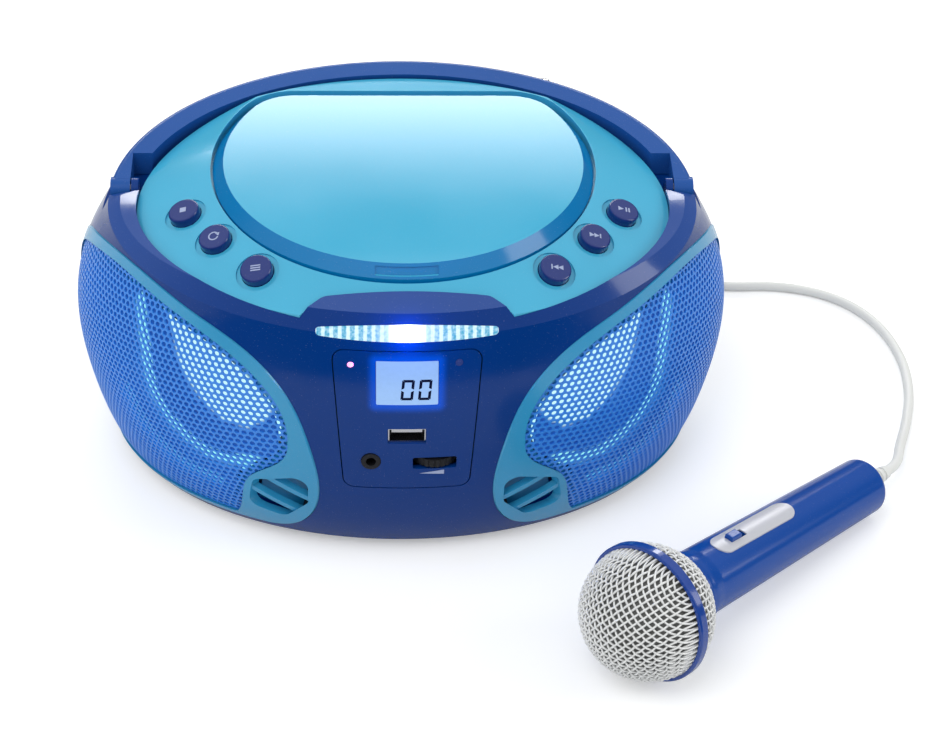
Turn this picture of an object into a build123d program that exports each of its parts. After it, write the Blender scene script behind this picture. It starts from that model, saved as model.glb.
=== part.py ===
from build123d import *
from math import atan2, cos, degrees, pi, radians, sin, sqrt, tan
import os

os.makedirs("parts", exist_ok=True)

# Karaoke machine: an egg-shaped disc player with a hand microphone on a cord.
# Millimetres, X to the right, Y to the rear, Z up from the surface it stands on.

# ---------------------------------------------------------------- housing sizes
foot_height = 4.0
wall = 2.6
fit = 0.15
seam_height = 31.0
# Each body section: height on the centre line, backward tilt, front reach, rear reach
# and half width.
section_base = (foot_height, 0.0, 74.2, 84.0, 109.1)
section_low = (22.0, 0.0, 81.0, 92.0, 117.6)
section_mid = (44.0, 1.0, 82.8, 95.0, 122.6)
section_belly = (66.0, 2.5, 81.8, 96.0, 123.6)
section_shoulder = (88.0, 4.0, 79.0, 91.0, 117.0)
section_rim = (105.0, 6.0, 76.0, 78.0, 108.5)
section_crease = (106.3, 1.6, 71.5, 74.0, 104.0)
section_deck_seat = (107.6, -1.3, 64.5, 70.0, 97.6)
body_sections = [section_base, section_low, section_mid, section_belly, section_shoulder,
                 section_rim]
rim_sections = [section_rim, section_crease, section_deck_seat]

# ---------------------------------------------------------------- handle and deck
handle_slope = 0.18
handle_height = 108.0
handle_half_width = 108.4
handle_reach = 78.3
handle_width = 9.5
handle_thickness = 9.0
handle_round = 2.0
handle_pivot_y = 8.0
handle_end_inner = 100.8
handle_end_length = 14.0
handle_end_width = 7.2
handle_gap = 0.4
handle_pin_radius = 2.0
pin_run = 0.05
rim_end_y = 3.0
ledge_thickness = 2.4
ledge_width = 4.5
ledge_front_y = -8.0
deck_half_width = 97.6
deck_front = 74.0
deck_rear = 67.0
deck_wall = 2.4
deck_skirt_height = 99.5
deck_top_height = 114.0
deck_top_slope = 0.07
deck_top_radius = 71.5
deck_foot_half_width = 120.0
deck_foot_depth = 95.0
deck_foot_centre_y = 5.0
deck_foot_height = 97.7
deck_foot_slope = 0.054
notch_edge = 64.5
notch_half_width = 29.0
notch_spread = 1.9
notch_round = 6.0

# ---------------------------------------------------------------- lid and disc well
lid_centre_y = 10.0
lid_radius = 70.4
lid_rear_y = 57.5
lid_corner = 22.0
lid_gap = 0.8
lid_height = 117.0
lid_slope = 0.035
lid_depth = 5.8
lid_bevel = 4.0
lid_sheet = 1.8
lid_wall = 2.2
lid_axis_y = 52.5
lid_axis_height = 114.0
lid_pin_radius = 1.2
lid_ear_x = 30.0
lid_ear_width = 4.0
lid_ear_radius = 2.4
lid_ear_root = 0.8
lid_lug_width = 4.0
lid_lug_gap = 0.3
lid_tab_half_width = 11.0
lid_tab_depth = 0.7
lid_tab_rise = 0.7
lid_tab_height = 2.4
pocket_height = 108.8
pocket_front_y = 49.5
pocket_floor = 1.6
well_centre_y = 3.5
well_radius = 61.5
well_wall = 1.6
well_floor_height = 100.0

# ---------------------------------------------------------------- speaker sides
side_angle = 40.0
side_near = 40.0
side_far = 135.0
trim_proud = 0.5
grille_recess = 0.3
grille_sheet = 0.9
grille_lip = 3.0
lip_thickness = 1.4
port_round = 4.0
port_fin = 2.0

seat_drop = sqrt(1 + handle_slope**2)
handle_pivot_height = (handle_height + handle_slope * handle_pivot_y
                       - handle_thickness / 2 * seat_drop)
seat_height = handle_height - (handle_thickness + handle_gap) * seat_drop
handle_ear_inner = deck_half_width + 0.2
handle_ear_outer = handle_end_inner - handle_gap

# ---------------------------------------------------------------- control panel
panel_top = 91.8
panel_bottom = 36.0
panel_half_top = 26.0
panel_half_bottom = 22.2
panel_sheet = 2.2
panel_gap = 0.4
panel_corner = 4.0
panel_near = 60.0
panel_far = 100.0
control_board_y = 68.0
control_board_sheet = 1.6
control_board_half = 27.0
control_board_low = 36.0
control_board_high = 92.0
panel_post_x = 18.5
panel_post_high = 82.0
panel_post_low = 40.5
post_radius = 2.2
lcd_width = 21.6
lcd_tall = 16.6
lcd_height = 80.0
lcd_lean = 8.7
lcd_front_y = 75.9
lcd_border = 2.0
window_sheet = 1.4
usb_width = 13.2
usb_tall = 5.8
usb_height = 58.9
usb_sheet = 0.4
usb_front_y = 81.2
jack_x = -12.7
jack_height = 48.0
jack_nose_radius = 3.4
jack_bore_radius = 1.8
jack_body = 10.0
jack_front_y = 82.6
wheel_x = 9.9
wheel_y = 74.0
wheel_height = 47.2
wheel_radius = 9.0
wheel_thickness = 3.2
wheel_slot_width = 15.6
wheel_slot_tall = 5.0
wheel_shaft_radius = 2.0
wheel_knurls = 28
lamp_radius = 1.3
power_lamp = (-19.6, 86.6)
stereo_lamp = (18.0, 87.4)
bar_half_length = 30.2
bar_end_bulge = 1.3
bar_end_top = 98.9
bar_end_bottom = 96.2
bar_top = 100.8
bar_bottom = 95.4
bar_back_y = 69.6

# ---------------------------------------------------------------- buttons
button_spots = [(79.0, -16.0), (67.2, -32.7), (51.9, -50.1)]
button_radius = 5.75
button_hole_gap = 0.2
button_flange_radius = 6.25
button_flange = 1.0
button_proud = 2.6
button_dish_radius = 7.8
button_dish_depth = 0.7
button_stem_radius = 1.6
button_stem = 3.6
button_board_gap = 1.8
button_travel = 1.2
button_top_round = 0.8

# ---------------------------------------------------------------- disc drive
plate_thickness = 2.0
plate_height = 90.0
plate_left = 32.0
plate_right = 36.0
plate_front = 64.5
plate_rear = 24.0
plate_post_radius = 3.0
spindle_radius = 1.0
motor_radius = 12.0
motor_height = 9.0
turntable_radius = 15.0
turntable_height = 101.2
turntable_sheet = 2.6
hub_radius = 7.2
hub_height = 3.0
ball_radius = 1.0
rod_radius = 1.5
rod_x = 8.5
rod_height = 95.0
rod_front = 63.5
rod_rear = 7.0
rod_block = 3.0
sled_half_width = 12.5
sled_front = 30.0
sled_rear = 11.5
sled_low = 92.6
sled_high = 97.6
sled_travel = 30.0
lens_radius = 4.0
lens_height = 99.4
lens_y = 20.5
window_half_width = 14.0
window_front = 55.0
window_rear = 11.0
tooth_module = 1.0
gear_teeth = 12
gear_thickness = 3.0
gear_low = 93.0
gear_y = 31.0
gear_play = 0.12
gear_shaft_radius = 1.5
rack_front = 35.0
rack_rear = -4.0
rack_back_width = 2.2

# ---------------------------------------------------------------- loudspeakers
speaker_u = -9.0
speaker_w = 56.0
speaker_plane = 74.0
speaker_radius = 36.0
speaker_flange = 2.0
speaker_hole_radius = 32.0
basket_depth = 18.0
magnet_radius = 17.0
magnet_depth = 10.0
cone_radius = 29.5
cone_throat = 8.0
cone_depth = 12.0
surround_radius = 32.5
baffle_sheet = 2.4
ring_inner = 36.6
ring_outer = 39.6
ring_depth = 3.4

# ---------------------------------------------------------------- base and rear
foot_radius = 9.0
foot_x = 64.0
foot_y = 36.0
board_low = 9.6
board_sheet = 1.6
board_x = 32.0
board_length = 90.0
board_width = 70.0
board_tail_x = 32.0
board_tail_width = 50.0
board_tail_rear = 70.0
transformer_x = -42.0
transformer_y = 4.0
transformer_length = 44.0
transformer_width = 38.0
transformer_height = 28.0
battery_half_width = 76.0
battery_front = 44.0
battery_low = 36.0
battery_high = 86.0
battery_wall = 2.0
door_half_width = 72.0
door_low = 39.0
door_high = 83.0
door_corner = 5.0
inlet_x = -40.0
inlet_height = 18.0
inlet_width = 20.0
inlet_tall = 12.0
inlet_front = 70.0
inlet_depth = 10.0
volume_x = 22.0
volume_y = 78.0
volume_radius = 12.0
volume_low = 15.4
volume_thickness = 4.0
volume_pot_radius = 5.0
switch_x = 50.0
switch_height = 17.5
switch_travel = 4.0
switch_body_front = 66.0
switch_knob_reach = 84.5

# ---------------------------------------------------------------- aerial
aerial_x = -46.0
aerial_y = 92.0
aerial_height = 101.5
aerial_ball = 4.8
aerial_stem_radius = 2.4
aerial_tube_radius = 2.75
aerial_rod_radius = 1.75
aerial_length = 96.0
aerial_slot = 3.0
aerial_pin_radius = 1.2
pedestal_top = 96.4
pedestal_low = 90.0
pedestal_half = 6.0

# ---------------------------------------------------------------- microphone
ball_radius_mic = 24.0
mesh_sheet = 1.0
band_radius = 25.3
band_half_width = 1.9
mic_x = 81.7
mic_y = -136.4
mic_turn = 42.0
mic_neck = 17.0
mic_collar_radius = 14.2
mic_grip_radius = 12.3
mic_grip_start = 27.0
mic_tail_radius = 10.9
mic_tail = 126.0
mic_wall = 2.0
mic_edge = 2.5
plate_start = 33.0
plate_end = 76.0
plate_half_width = 4.6
plate_proud = 0.5
mic_switch_at = 43.0
mic_switch_travel = 3.0
slot_length = 8.6
slot_width = 3.6
relief_length = 14.0
relief_radius = 4.0
relief_end_radius = 2.6
cable_lead = 8.0
cable_radius = 2.0
coil_x = 30.0
coil_y = 156.0
coil_radius = 22.0
coil_half_width = 10.2
coil_height = 8.4
plug_radius = 4.5
plug_lead = 14.0
plug_grip = 26.0
plug_tip_radius = 1.75
plug_tip = 14.0


def tilted(height, slope):
    return Plane(origin=(0, 0, height), x_dir=(1, 0, 0), z_dir=(0, -slope, 1))


def section_plane(section, lift=0.0):
    return tilted(section[0] + lift, tan(radians(section[1])))


def body_envelope(inset):
    # The whole closed egg, drawn in by inset; a cavity stays open at the rim.
    with BuildPart() as egg:
        for section in body_sections:
            lift = inset if section is section_base and inset > 0 else 0
            with BuildSketch(section_plane(section, lift)):
                with Locations((0, (section[3] - section[2]) / 2)):
                    Ellipse(section[4] - inset, (section[2] + section[3]) / 2 - inset)
        loft()
        if inset > 0:
            with BuildSketch(section_plane(section_rim)):
                with Locations((0, (section_rim[3] - section_rim[2]) / 2)):
                    Ellipse(section_rim[4] - inset,
                            (section_rim[2] + section_rim[3]) / 2 - inset)
            extrude(amount=20)
    return egg.part


def egg_layer(outer, inner):
    # A skin of the egg between two insets.
    with BuildPart() as layer:
        add(body_envelope(outer))
        add(body_envelope(inner), mode=Mode.SUBTRACT)
    return layer.part


def tongue_bay(grow):
    # Bay at the front of the deck that the rim's tongue fills.
    reach = deck_front + 5 - notch_edge
    edge = notch_edge + grow
    half = notch_half_width - grow / 2
    with BuildSketch() as bay:
        Polygon((-half - notch_spread * reach, -edge - reach),
                (half + notch_spread * reach, -edge - reach),
                (half, -edge), (-half, -edge), align=None)
        fillet(bay.vertices().group_by(Axis.Y)[-1], notch_round)
    return bay.sketch


def deck_outline(grow):
    bay = tongue_bay(grow)
    with BuildSketch() as outline:
        with Locations((0, (deck_rear - deck_front) / 2)):
            Ellipse(deck_half_width + grow, (deck_front + deck_rear) / 2 + grow)
        add(bay, mode=Mode.SUBTRACT)
    return outline.sketch


def lid_outline(grow):
    # Circle with a straight rear edge and two rounded rear corners.
    with BuildSketch() as outline:
        with Locations((0, lid_centre_y)):
            Circle(lid_radius + grow)
        with Locations((0, lid_rear_y + grow)):
            Rectangle(4 * lid_radius, 2 * lid_radius, align=(Align.CENTER, Align.MIN),
                      mode=Mode.SUBTRACT)
        fillet(outline.vertices().group_by(Axis.Y)[-1], lid_corner + grow)
    return outline.sketch


def prism(outline, low, high):
    # Upright prism of a level outline between two heights.
    with BuildPart() as block:
        with BuildSketch(Plane.XY.offset(low)):
            add(outline)
        extrude(amount=high - low)
    return block.part


def leaning(outline, plane, depth):
    # Prism of a level outline set on a leaning plane.
    with BuildPart() as block:
        with BuildSketch(plane):
            add(outline)
        extrude(amount=depth)
    return block.part


def pair(left):
    # A piece of the left side with its mirror image on the right.
    return [left, mirror(left, about=Plane.YZ)]


side_x = sin(radians(side_angle))
side_y = cos(radians(side_angle))
left_side = Plane(origin=(0, 0, 0), x_dir=(side_x, -side_y, 0), z_dir=(-side_y, -side_x, 0))


def side_prism(outline, near, far):
    # Prism through the left flank, square to the loudspeaker's own plane.
    with BuildPart() as block:
        with BuildSketch(left_side.offset(near)):
            add(outline)
        extrude(amount=far - near)
    return block.part


def grown(points, grow):
    # Points of a clockwise loop moved outwards, square to the line between neighbours.
    moved = []
    for index, point in enumerate(points):
        after = Vector(points[(index + 1) % len(points)])
        along = (after - Vector(points[index - 1])).normalized()
        moved.append(Vector(point) + Vector(-along.Y, along.X) * grow)
    return moved


def flank_outline(top, lobe, low_end, rear, grow):
    # Closed outline on the speaker's plane: a crown, an optional lobe, then the rear.
    loop = grown(top + lobe + [low_end, rear], grow)
    turn = len(top)
    with BuildSketch() as outline:
        with BuildLine():
            last = Spline(*loop[:turn])
            if lobe:
                last = Spline(last @ 1, *loop[turn:-2])
            Line(last @ 1, loop[-2])
            ThreePointArc(loop[-2], loop[-1], loop[0])
        make_face()
    return outline.sketch


def trim_outline(grow):
    top = [(-97, 62), (-88, 84), (-66.7, 95), (-32, 100), (-6, 94.6), (14, 87.2),
           (28.5, 74.8), (38.7, 50.9), (39.8, 27.1), (33.5, 14.7), (19.6, 7.6)]
    return flank_outline(top, [], (-70, 7.6), (-92, 26), grow)


def grille_outline(grow):
    top = [(-92, 62), (-84, 82), (-66, 91.5), (-40, 96.4), (-19.1, 93.8), (-0.6, 89),
           (15, 81.6), (27.3, 69.7), (32.4, 51.7)]
    lobe = [(29.8, 43.4), (19.3, 33.4), (15.8, 24.8), (12.5, 14.9), (8.8, 9.6)]
    return flank_outline(top, lobe, (-68, 9.6), (-87, 28), grow)


def port_outline(grow):
    with BuildSketch() as outline:
        Polygon((16.6, 18.6), (20.4, 32.6), (38.4, 38.6), (37.2, 25.4), (28, 15.2), align=None)
        fillet(outline.vertices(), port_round)
        if grow:
            offset(amount=grow)
    return outline.sketch


def front_prism(outline, near, far):
    # Prism through the front, near and far being distances forward of the middle.
    with BuildPart() as block:
        with BuildSketch(Plane.XZ.offset(near)):
            add(outline)
        extrude(amount=far - near)
    return block.part


def rear_prism(outline, near, far):
    # Prism through the rear wall, near and far being distances behind the middle.
    with BuildPart() as block:
        with BuildSketch(Plane.XZ.offset(-near)):
            add(outline)
        extrude(amount=near - far)
    return block.part


def panel_outline(grow):
    with BuildSketch() as outline:
        Polygon((-panel_half_top, panel_top), (-panel_half_bottom, panel_bottom),
                (panel_half_bottom, panel_bottom), (panel_half_top, panel_top), align=None)
        fillet(outline.vertices(), panel_corner)
        if grow:
            offset(amount=grow)
    return outline.sketch


def bar_outline(grow):
    # bowed top and bottom edges, closed by a small arc at each end
    half = bar_half_length + grow
    top = bar_end_top + grow
    low = bar_end_bottom - grow
    middle = (top + low) / 2
    with BuildSketch() as outline:
        with BuildLine():
            ThreePointArc((-half, top), (0, bar_top + grow), (half, top))
            ThreePointArc((half, top), (half + bar_end_bulge, middle), (half, low))
            ThreePointArc((half, low), (0, bar_bottom - grow), (-half, low))
            ThreePointArc((-half, low), (-half - bar_end_bulge, middle), (-half, top))
        make_face()
    return outline.sketch


def box_outline(x, z, width, tall, corner):
    with BuildSketch() as outline:
        with Locations((x, z)):
            RectangleRounded(width, tall, corner)
    return outline.sketch


def round_outline(x, y, radius):
    with BuildSketch() as outline:
        with Locations((x, y)):
            Circle(radius)
    return outline.sketch


def clip(shape, bounds):
    with BuildPart() as kept:
        add(shape)
        add(bounds, mode=Mode.INTERSECT)
    return kept.part


def finish(built, name):
    built.part.label = name
    export_step(built.part, f"parts/{name}.step")


# ================================================================ casing
outer_egg = body_envelope(0)
cavity_egg = body_envelope(wall)
trim_openings = pair(side_prism(trim_outline(fit), side_near, side_far))
deck_opening = prism(deck_outline(fit), 60, 160)
door_opening = rear_prism(
    box_outline(0, (door_low + door_high) / 2, 2 * (door_half_width + fit),
                door_high - door_low + 2 * fit, door_corner), battery_front, 120)
inlet_opening = rear_prism(
    box_outline(inlet_x, inlet_height, inlet_width + 2 * fit, inlet_tall + 2 * fit, 3),
    inlet_front, 120)
bar_opening = front_prism(bar_outline(fit), bar_back_y, panel_far)
panel_opening = front_prism(panel_outline(panel_gap), panel_near, panel_far)

with BuildPart() as ledge:
    with BuildSketch(tilted(seat_height, handle_slope)):
        Ellipse(handle_half_width + 6, handle_reach + 8)
        add(deck_outline(-ledge_width), mode=Mode.SUBTRACT)
        with Locations((0, ledge_front_y)):
            Rectangle(400, 200, align=(Align.CENTER, Align.MAX), mode=Mode.SUBTRACT)
    extrude(amount=-ledge_thickness)
    add(outer_egg, mode=Mode.INTERSECT)
    with Locations((0, well_centre_y, 80)):
        Cylinder(well_radius + well_wall + 2 * fit, 50,
                 align=(Align.CENTER, Align.CENTER, Align.MIN), mode=Mode.SUBTRACT)

with BuildPart() as lower_shell:
    add(outer_egg)
    add(cavity_egg, mode=Mode.SUBTRACT)
    split(bisect_by=Plane.XY.offset(seam_height), keep=Keep.BOTTOM)
    for opening in trim_openings:
        add(opening, mode=Mode.SUBTRACT)
    # posts that the main board stands on
    with BuildSketch(Plane.XY.offset(foot_height + wall / 2)):
        with Locations((board_x, 0)):
            with GridLocations(board_length - 12, board_width - 12, 2, 2):
                Circle(post_radius)
    extrude(amount=board_low - foot_height - wall / 2)
    add(inlet_opening, mode=Mode.SUBTRACT)
    # slots for the edge of the volume wheel and for the function switch
    with BuildSketch(Plane.XZ.offset(-60)):
        with Locations((volume_x, volume_low + volume_thickness / 2)):
            Rectangle(2 * volume_radius, volume_thickness + 1.6)
        with Locations((switch_x, switch_height)):
            Rectangle(2 * switch_travel + 6.8, 4.0)
    extrude(amount=-60, mode=Mode.SUBTRACT)
finish(lower_shell, "lower_shell")

with BuildPart() as pedestal:
    with Locations((aerial_x, 0, pedestal_low)):
        Box(2 * pedestal_half, aerial_y + pedestal_half, pedestal_top - pedestal_low,
            align=(Align.CENTER, Align.MIN, Align.MIN))
    fillet(pedestal.edges().filter_by(Axis.Z).group_by(Axis.Y)[-1], pedestal_half - 0.5)
    add(cavity_egg, mode=Mode.SUBTRACT)

with BuildPart() as upper_shell:
    add(outer_egg)
    add(cavity_egg, mode=Mode.SUBTRACT)
    split(bisect_by=Plane.XY.offset(seam_height), keep=Keep.TOP)
    with BuildSketch(tilted(seat_height, handle_slope)):
        with Locations((0, rim_end_y)):
            Rectangle(400, 200, align=(Align.CENTER, Align.MIN))
    extrude(amount=60, mode=Mode.SUBTRACT)
    add(ledge.part)
    # an ear beside each end of the handle carries its pin
    with BuildSketch(Plane.YZ.offset(-handle_ear_outer)):
        with Locations((handle_pivot_y, handle_pivot_height)):
            Circle(handle_pin_radius + 2.4)
            Rectangle(2 * handle_pin_radius + 4.8, handle_thickness / 2 + 2,
                      align=(Align.CENTER, Align.MAX))
    extrude(amount=handle_ear_outer - handle_ear_inner)
    with BuildSketch(Plane.YZ.offset(handle_ear_inner)):
        with Locations((handle_pivot_y, handle_pivot_height)):
            Circle(handle_pin_radius + 2.4)
            Rectangle(2 * handle_pin_radius + 4.8, handle_thickness / 2 + 2,
                      align=(Align.CENTER, Align.MAX))
    extrude(amount=handle_ear_outer - handle_ear_inner)
    with BuildSketch(Plane.YZ.offset(-handle_half_width)):
        with Locations((handle_pivot_y, handle_pivot_height)):
            Circle(handle_pin_radius + pin_run)
    extrude(amount=2 * handle_half_width, mode=Mode.SUBTRACT)
    for opening in trim_openings:
        add(opening, mode=Mode.SUBTRACT)
    add(door_opening, mode=Mode.SUBTRACT)
    add(panel_opening, mode=Mode.SUBTRACT)
    add(bar_opening, mode=Mode.SUBTRACT)
    add(pedestal.part)
    with Locations((aerial_x, aerial_y, pedestal_low)):
        Cylinder(aerial_stem_radius + pin_run, pedestal_top - pedestal_low,
                 align=(Align.CENTER, Align.CENTER, Align.MIN), mode=Mode.SUBTRACT)
finish(upper_shell, "upper_shell")

with BuildPart() as rim_block:
    for section in rim_sections:
        with BuildSketch(section_plane(section)):
            with Locations((0, (section[3] - section[2]) / 2)):
                Ellipse(section[4], (section[2] + section[3]) / 2)
            with Locations((0, rim_end_y)):
                Rectangle(400, 200, align=(Align.CENTER, Align.MIN), mode=Mode.SUBTRACT)
    loft(ruled=True)

with BuildPart() as front_body:
    add(outer_egg)
    add(rim_block.part)

with BuildPart() as deck_rim:
    add(rim_block.part)
    add(deck_opening, mode=Mode.SUBTRACT)
    add(bar_opening, mode=Mode.SUBTRACT)
finish(deck_rim, "deck_rim")

with BuildPart() as light_bar_lens:
    with BuildSketch(Plane.XZ.offset(bar_back_y)):
        add(bar_outline(0))
    extrude(amount=panel_far - bar_back_y)
    add(front_body.part, mode=Mode.INTERSECT)
finish(light_bar_lens, "light_bar_lens")

# ---------------------------------------------------------------- top deck
with BuildPart() as dome:
    with BuildSketch(tilted(deck_foot_height, deck_foot_slope)):
        with Locations((0, deck_foot_centre_y)):
            Ellipse(deck_foot_half_width, deck_foot_depth)
    with BuildSketch(tilted(deck_top_height, deck_top_slope)):
        with Locations((0, lid_centre_y)):
            Circle(deck_top_radius)
    loft()

ledge_height = lid_height - lid_depth
lid_seat = tilted(ledge_height, lid_slope)
deck_solid = clip(dome.part, prism(deck_outline(0), 80, 140))
deck_hollow = clip(dome.part.moved(Location((0, 0, -deck_wall - 0.2))),
                   prism(deck_outline(-deck_wall), 60, 140))
recess_block = clip(leaning(lid_outline(lid_gap + deck_wall),
                            tilted(ledge_height - deck_wall, lid_slope), 20), deck_solid)
pocket_box = leaning(lid_outline(lid_gap), Plane.XY.offset(pocket_height), 20)

with BuildPart() as pocket_block:
    add(leaning(lid_outline(lid_gap + deck_wall), Plane.XY.offset(pocket_height - pocket_floor), 8))
    split(bisect_by=Plane.XZ.offset(-pocket_front_y), keep=Keep.BOTTOM)
    add(deck_solid, mode=Mode.INTERSECT)

with BuildPart() as pocket:
    add(pocket_box)
    split(bisect_by=Plane.XZ.offset(-pocket_front_y), keep=Keep.BOTTOM)

with BuildPart() as well_bore:
    with BuildSketch(Plane.XY.offset(60)):
        with Locations((0, well_centre_y)):
            Circle(well_radius)
    extrude(amount=80)
    split(bisect_by=Plane.XZ.offset(-pocket_front_y), keep=Keep.TOP)

button_planes = []
for spot in button_spots:
    for side in (-1, 1):
        hit = dome.part.find_intersection_points(
            Axis((side * spot[0], spot[1], 200), (0, 0, -1)))
        point, normal = max(hit, key=lambda found: found[0].Z)
        normal = normal if normal.Z > 0 else -normal
        button_planes.append(Plane(origin=point, z_dir=normal))

with BuildPart() as top_deck:
    add(deck_solid)
    add(deck_hollow, mode=Mode.SUBTRACT)
    add(recess_block)
    add(pocket_block.part)
    add(leaning(lid_outline(lid_gap), lid_seat, 20), mode=Mode.SUBTRACT)
    add(pocket.part, mode=Mode.SUBTRACT)
    add(well_bore.part, mode=Mode.SUBTRACT)
    # skirt cut to stand on the ledge at the rear, level at the front
    with BuildSketch(tilted(seat_height, handle_slope)):
        Rectangle(400, 400)
    extrude(amount=-60, mode=Mode.SUBTRACT)
    with BuildSketch(Plane.XY.offset(deck_skirt_height)):
        Rectangle(400, 400)
    extrude(amount=-60, mode=Mode.SUBTRACT)
    for plane in button_planes:
        with BuildSketch(plane.offset(-button_dish_depth)):
            Circle(button_dish_radius)
        extrude(amount=4, mode=Mode.SUBTRACT)
        with BuildSketch(plane.offset(-6)):
            Circle(button_radius + button_hole_gap)
        extrude(amount=10, mode=Mode.SUBTRACT)
        with BuildSketch(plane.offset(-deck_wall - 0.2)):
            Circle(button_flange_radius + button_hole_gap)
        extrude(amount=-6, mode=Mode.SUBTRACT)
    # two upright ears in the pocket carry the lid's hinge pins
    for side in (-1, 1):
        with BuildSketch(Plane.YZ.offset(side * lid_ear_x - lid_ear_width / 2)):
            with Locations((lid_axis_y, lid_axis_height)):
                Circle(lid_ear_radius)
            with Locations((lid_axis_y - lid_ear_radius, lid_axis_height)):
                Rectangle(lid_ear_radius + lid_ear_root, lid_axis_height - pocket_height,
                          align=(Align.MIN, Align.MAX))
        extrude(amount=lid_ear_width)
        with BuildSketch(Plane.YZ.offset(side * lid_ear_x - lid_ear_width)):
            with Locations((lid_axis_y, lid_axis_height)):
                Circle(lid_pin_radius + pin_run)
        extrude(amount=2 * lid_ear_width, mode=Mode.SUBTRACT)
finish(top_deck, "top_deck")

# ---------------------------------------------------------------- lid
# Finger recess: the front of the bevel is let in by lid_tab_depth over a short width.
tab_seat = lid_seat.offset(lid_depth - lid_bevel + lid_tab_rise)
with BuildPart() as lid_tab:
    with BuildSketch(tab_seat):
        Rectangle(2 * lid_tab_half_width, 200, align=(Align.CENTER, Align.MAX))
    extrude(amount=lid_tab_height)
    with BuildSketch(tab_seat):
        add(lid_outline(-lid_tab_rise - lid_tab_depth))
    extrude(amount=lid_tab_height, taper=45, mode=Mode.SUBTRACT)

with BuildPart() as cd_lid:
    with BuildSketch(lid_seat):
        add(lid_outline(0))
    extrude(amount=lid_depth - lid_bevel)
    with BuildSketch(lid_seat.offset(lid_depth - lid_bevel)):
        add(lid_outline(0))
    extrude(amount=lid_bevel, taper=45)
    with BuildSketch(lid_seat):
        add(lid_outline(-lid_wall))
    extrude(amount=lid_depth - lid_bevel, mode=Mode.SUBTRACT)
    with BuildSketch(lid_seat.offset(lid_depth - lid_bevel)):
        add(lid_outline(-lid_wall))
    extrude(amount=lid_bevel - lid_sheet, taper=45, mode=Mode.SUBTRACT)
    for side in (-1, 1):
        start = side * (lid_ear_x + lid_ear_width / 2 + lid_lug_gap)
        with BuildSketch(Plane.YZ.offset(start)):
            with Locations((lid_axis_y, lid_axis_height)):
                Circle(lid_ear_radius)
                Rectangle(2 * lid_ear_radius, 4, align=(Align.CENTER, Align.MIN))
        extrude(amount=side * lid_lug_width)
        with BuildSketch(Plane.YZ.offset(side * (lid_ear_x - lid_ear_width / 2))):
            with Locations((lid_axis_y, lid_axis_height)):
                Circle(lid_pin_radius)
        extrude(amount=side * (lid_ear_width + lid_lug_gap + 1))
    add(lid_tab.part, mode=Mode.SUBTRACT)
finish(cd_lid, "cd_lid")

# ---------------------------------------------------------------- disc well
with BuildPart() as disc_well:
    with BuildSketch(Plane.XY.offset(well_floor_height - well_wall)):
        with Locations((0, well_centre_y)):
            Circle(well_radius + well_wall)
    extrude(amount=20)
    with BuildSketch(Plane.XY.offset(well_floor_height)):
        with Locations((0, well_centre_y)):
            Circle(well_radius)
    extrude(amount=20, mode=Mode.SUBTRACT)
    # the wall stops under the deck's ledge, and lower under its pocket
    with BuildSketch(tilted(ledge_height - deck_wall, lid_slope)):
        Rectangle(400, 400)
    extrude(amount=60, mode=Mode.SUBTRACT)
    with BuildSketch(Plane.XY.offset(pocket_height - pocket_floor)):
        with Locations((0, pocket_front_y - fit)):
            Rectangle(400, 200, align=(Align.CENTER, Align.MIN))
    extrude(amount=60, mode=Mode.SUBTRACT)
    with BuildSketch(Plane.XY.offset(well_floor_height - 2 * well_wall)):
        with Locations((0, well_centre_y)):
            Circle(turntable_radius + 2)
        with Locations((0, -(window_front + window_rear) / 2)):
            Rectangle(2 * window_half_width, window_front - window_rear)
    extrude(amount=3 * well_wall, mode=Mode.SUBTRACT)
finish(disc_well, "disc_well")

# ---------------------------------------------------------------- carrying handle
with BuildPart() as carry_handle:
    with BuildSketch(tilted(handle_height, handle_slope)):
        Ellipse(handle_half_width, handle_reach)
        Ellipse(handle_half_width - handle_width, handle_reach - handle_width,
                mode=Mode.SUBTRACT)
        with Locations((0, handle_pivot_y)):
            Rectangle(400, 200, align=(Align.CENTER, Align.MAX), mode=Mode.SUBTRACT)
    extrude(amount=-handle_thickness)
    fillet(carry_handle.faces().sort_by(Axis.Z)[-1].edges().filter_by(GeomType.ELLIPSE),
           handle_round)
    # rounded ends that turn about the pins
    for side in (-1, 1):
        with BuildSketch(Plane.YZ.offset(side * handle_end_inner)):
            with Locations((handle_pivot_y, handle_pivot_height)):
                Circle(handle_thickness / 2)
        extrude(amount=side * handle_end_width)
    with BuildSketch(Plane.XY.offset(80)):
        with Locations((0, handle_pivot_y - handle_thickness)):
            Rectangle(2 * handle_end_inner, handle_end_length + handle_thickness,
                      align=(Align.CENTER, Align.MIN))
    extrude(amount=50, mode=Mode.SUBTRACT)
    with BuildSketch(Plane.YZ.offset(-handle_half_width + 2)):
        with Locations((handle_pivot_y, handle_pivot_height)):
            Circle(handle_pin_radius + 0.01)
    extrude(amount=2 * handle_half_width - 4, mode=Mode.SUBTRACT)
finish(carry_handle, "carry_handle")

with BuildPart() as handle_pins:
    for side in (-1, 1):
        with BuildSketch(Plane.YZ.offset(side * handle_ear_inner)):
            with Locations((handle_pivot_y, handle_pivot_height)):
                Circle(handle_pin_radius)
        extrude(amount=side * (handle_half_width - 2.3 - handle_ear_inner))
finish(handle_pins, "handle_pins")

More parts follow.
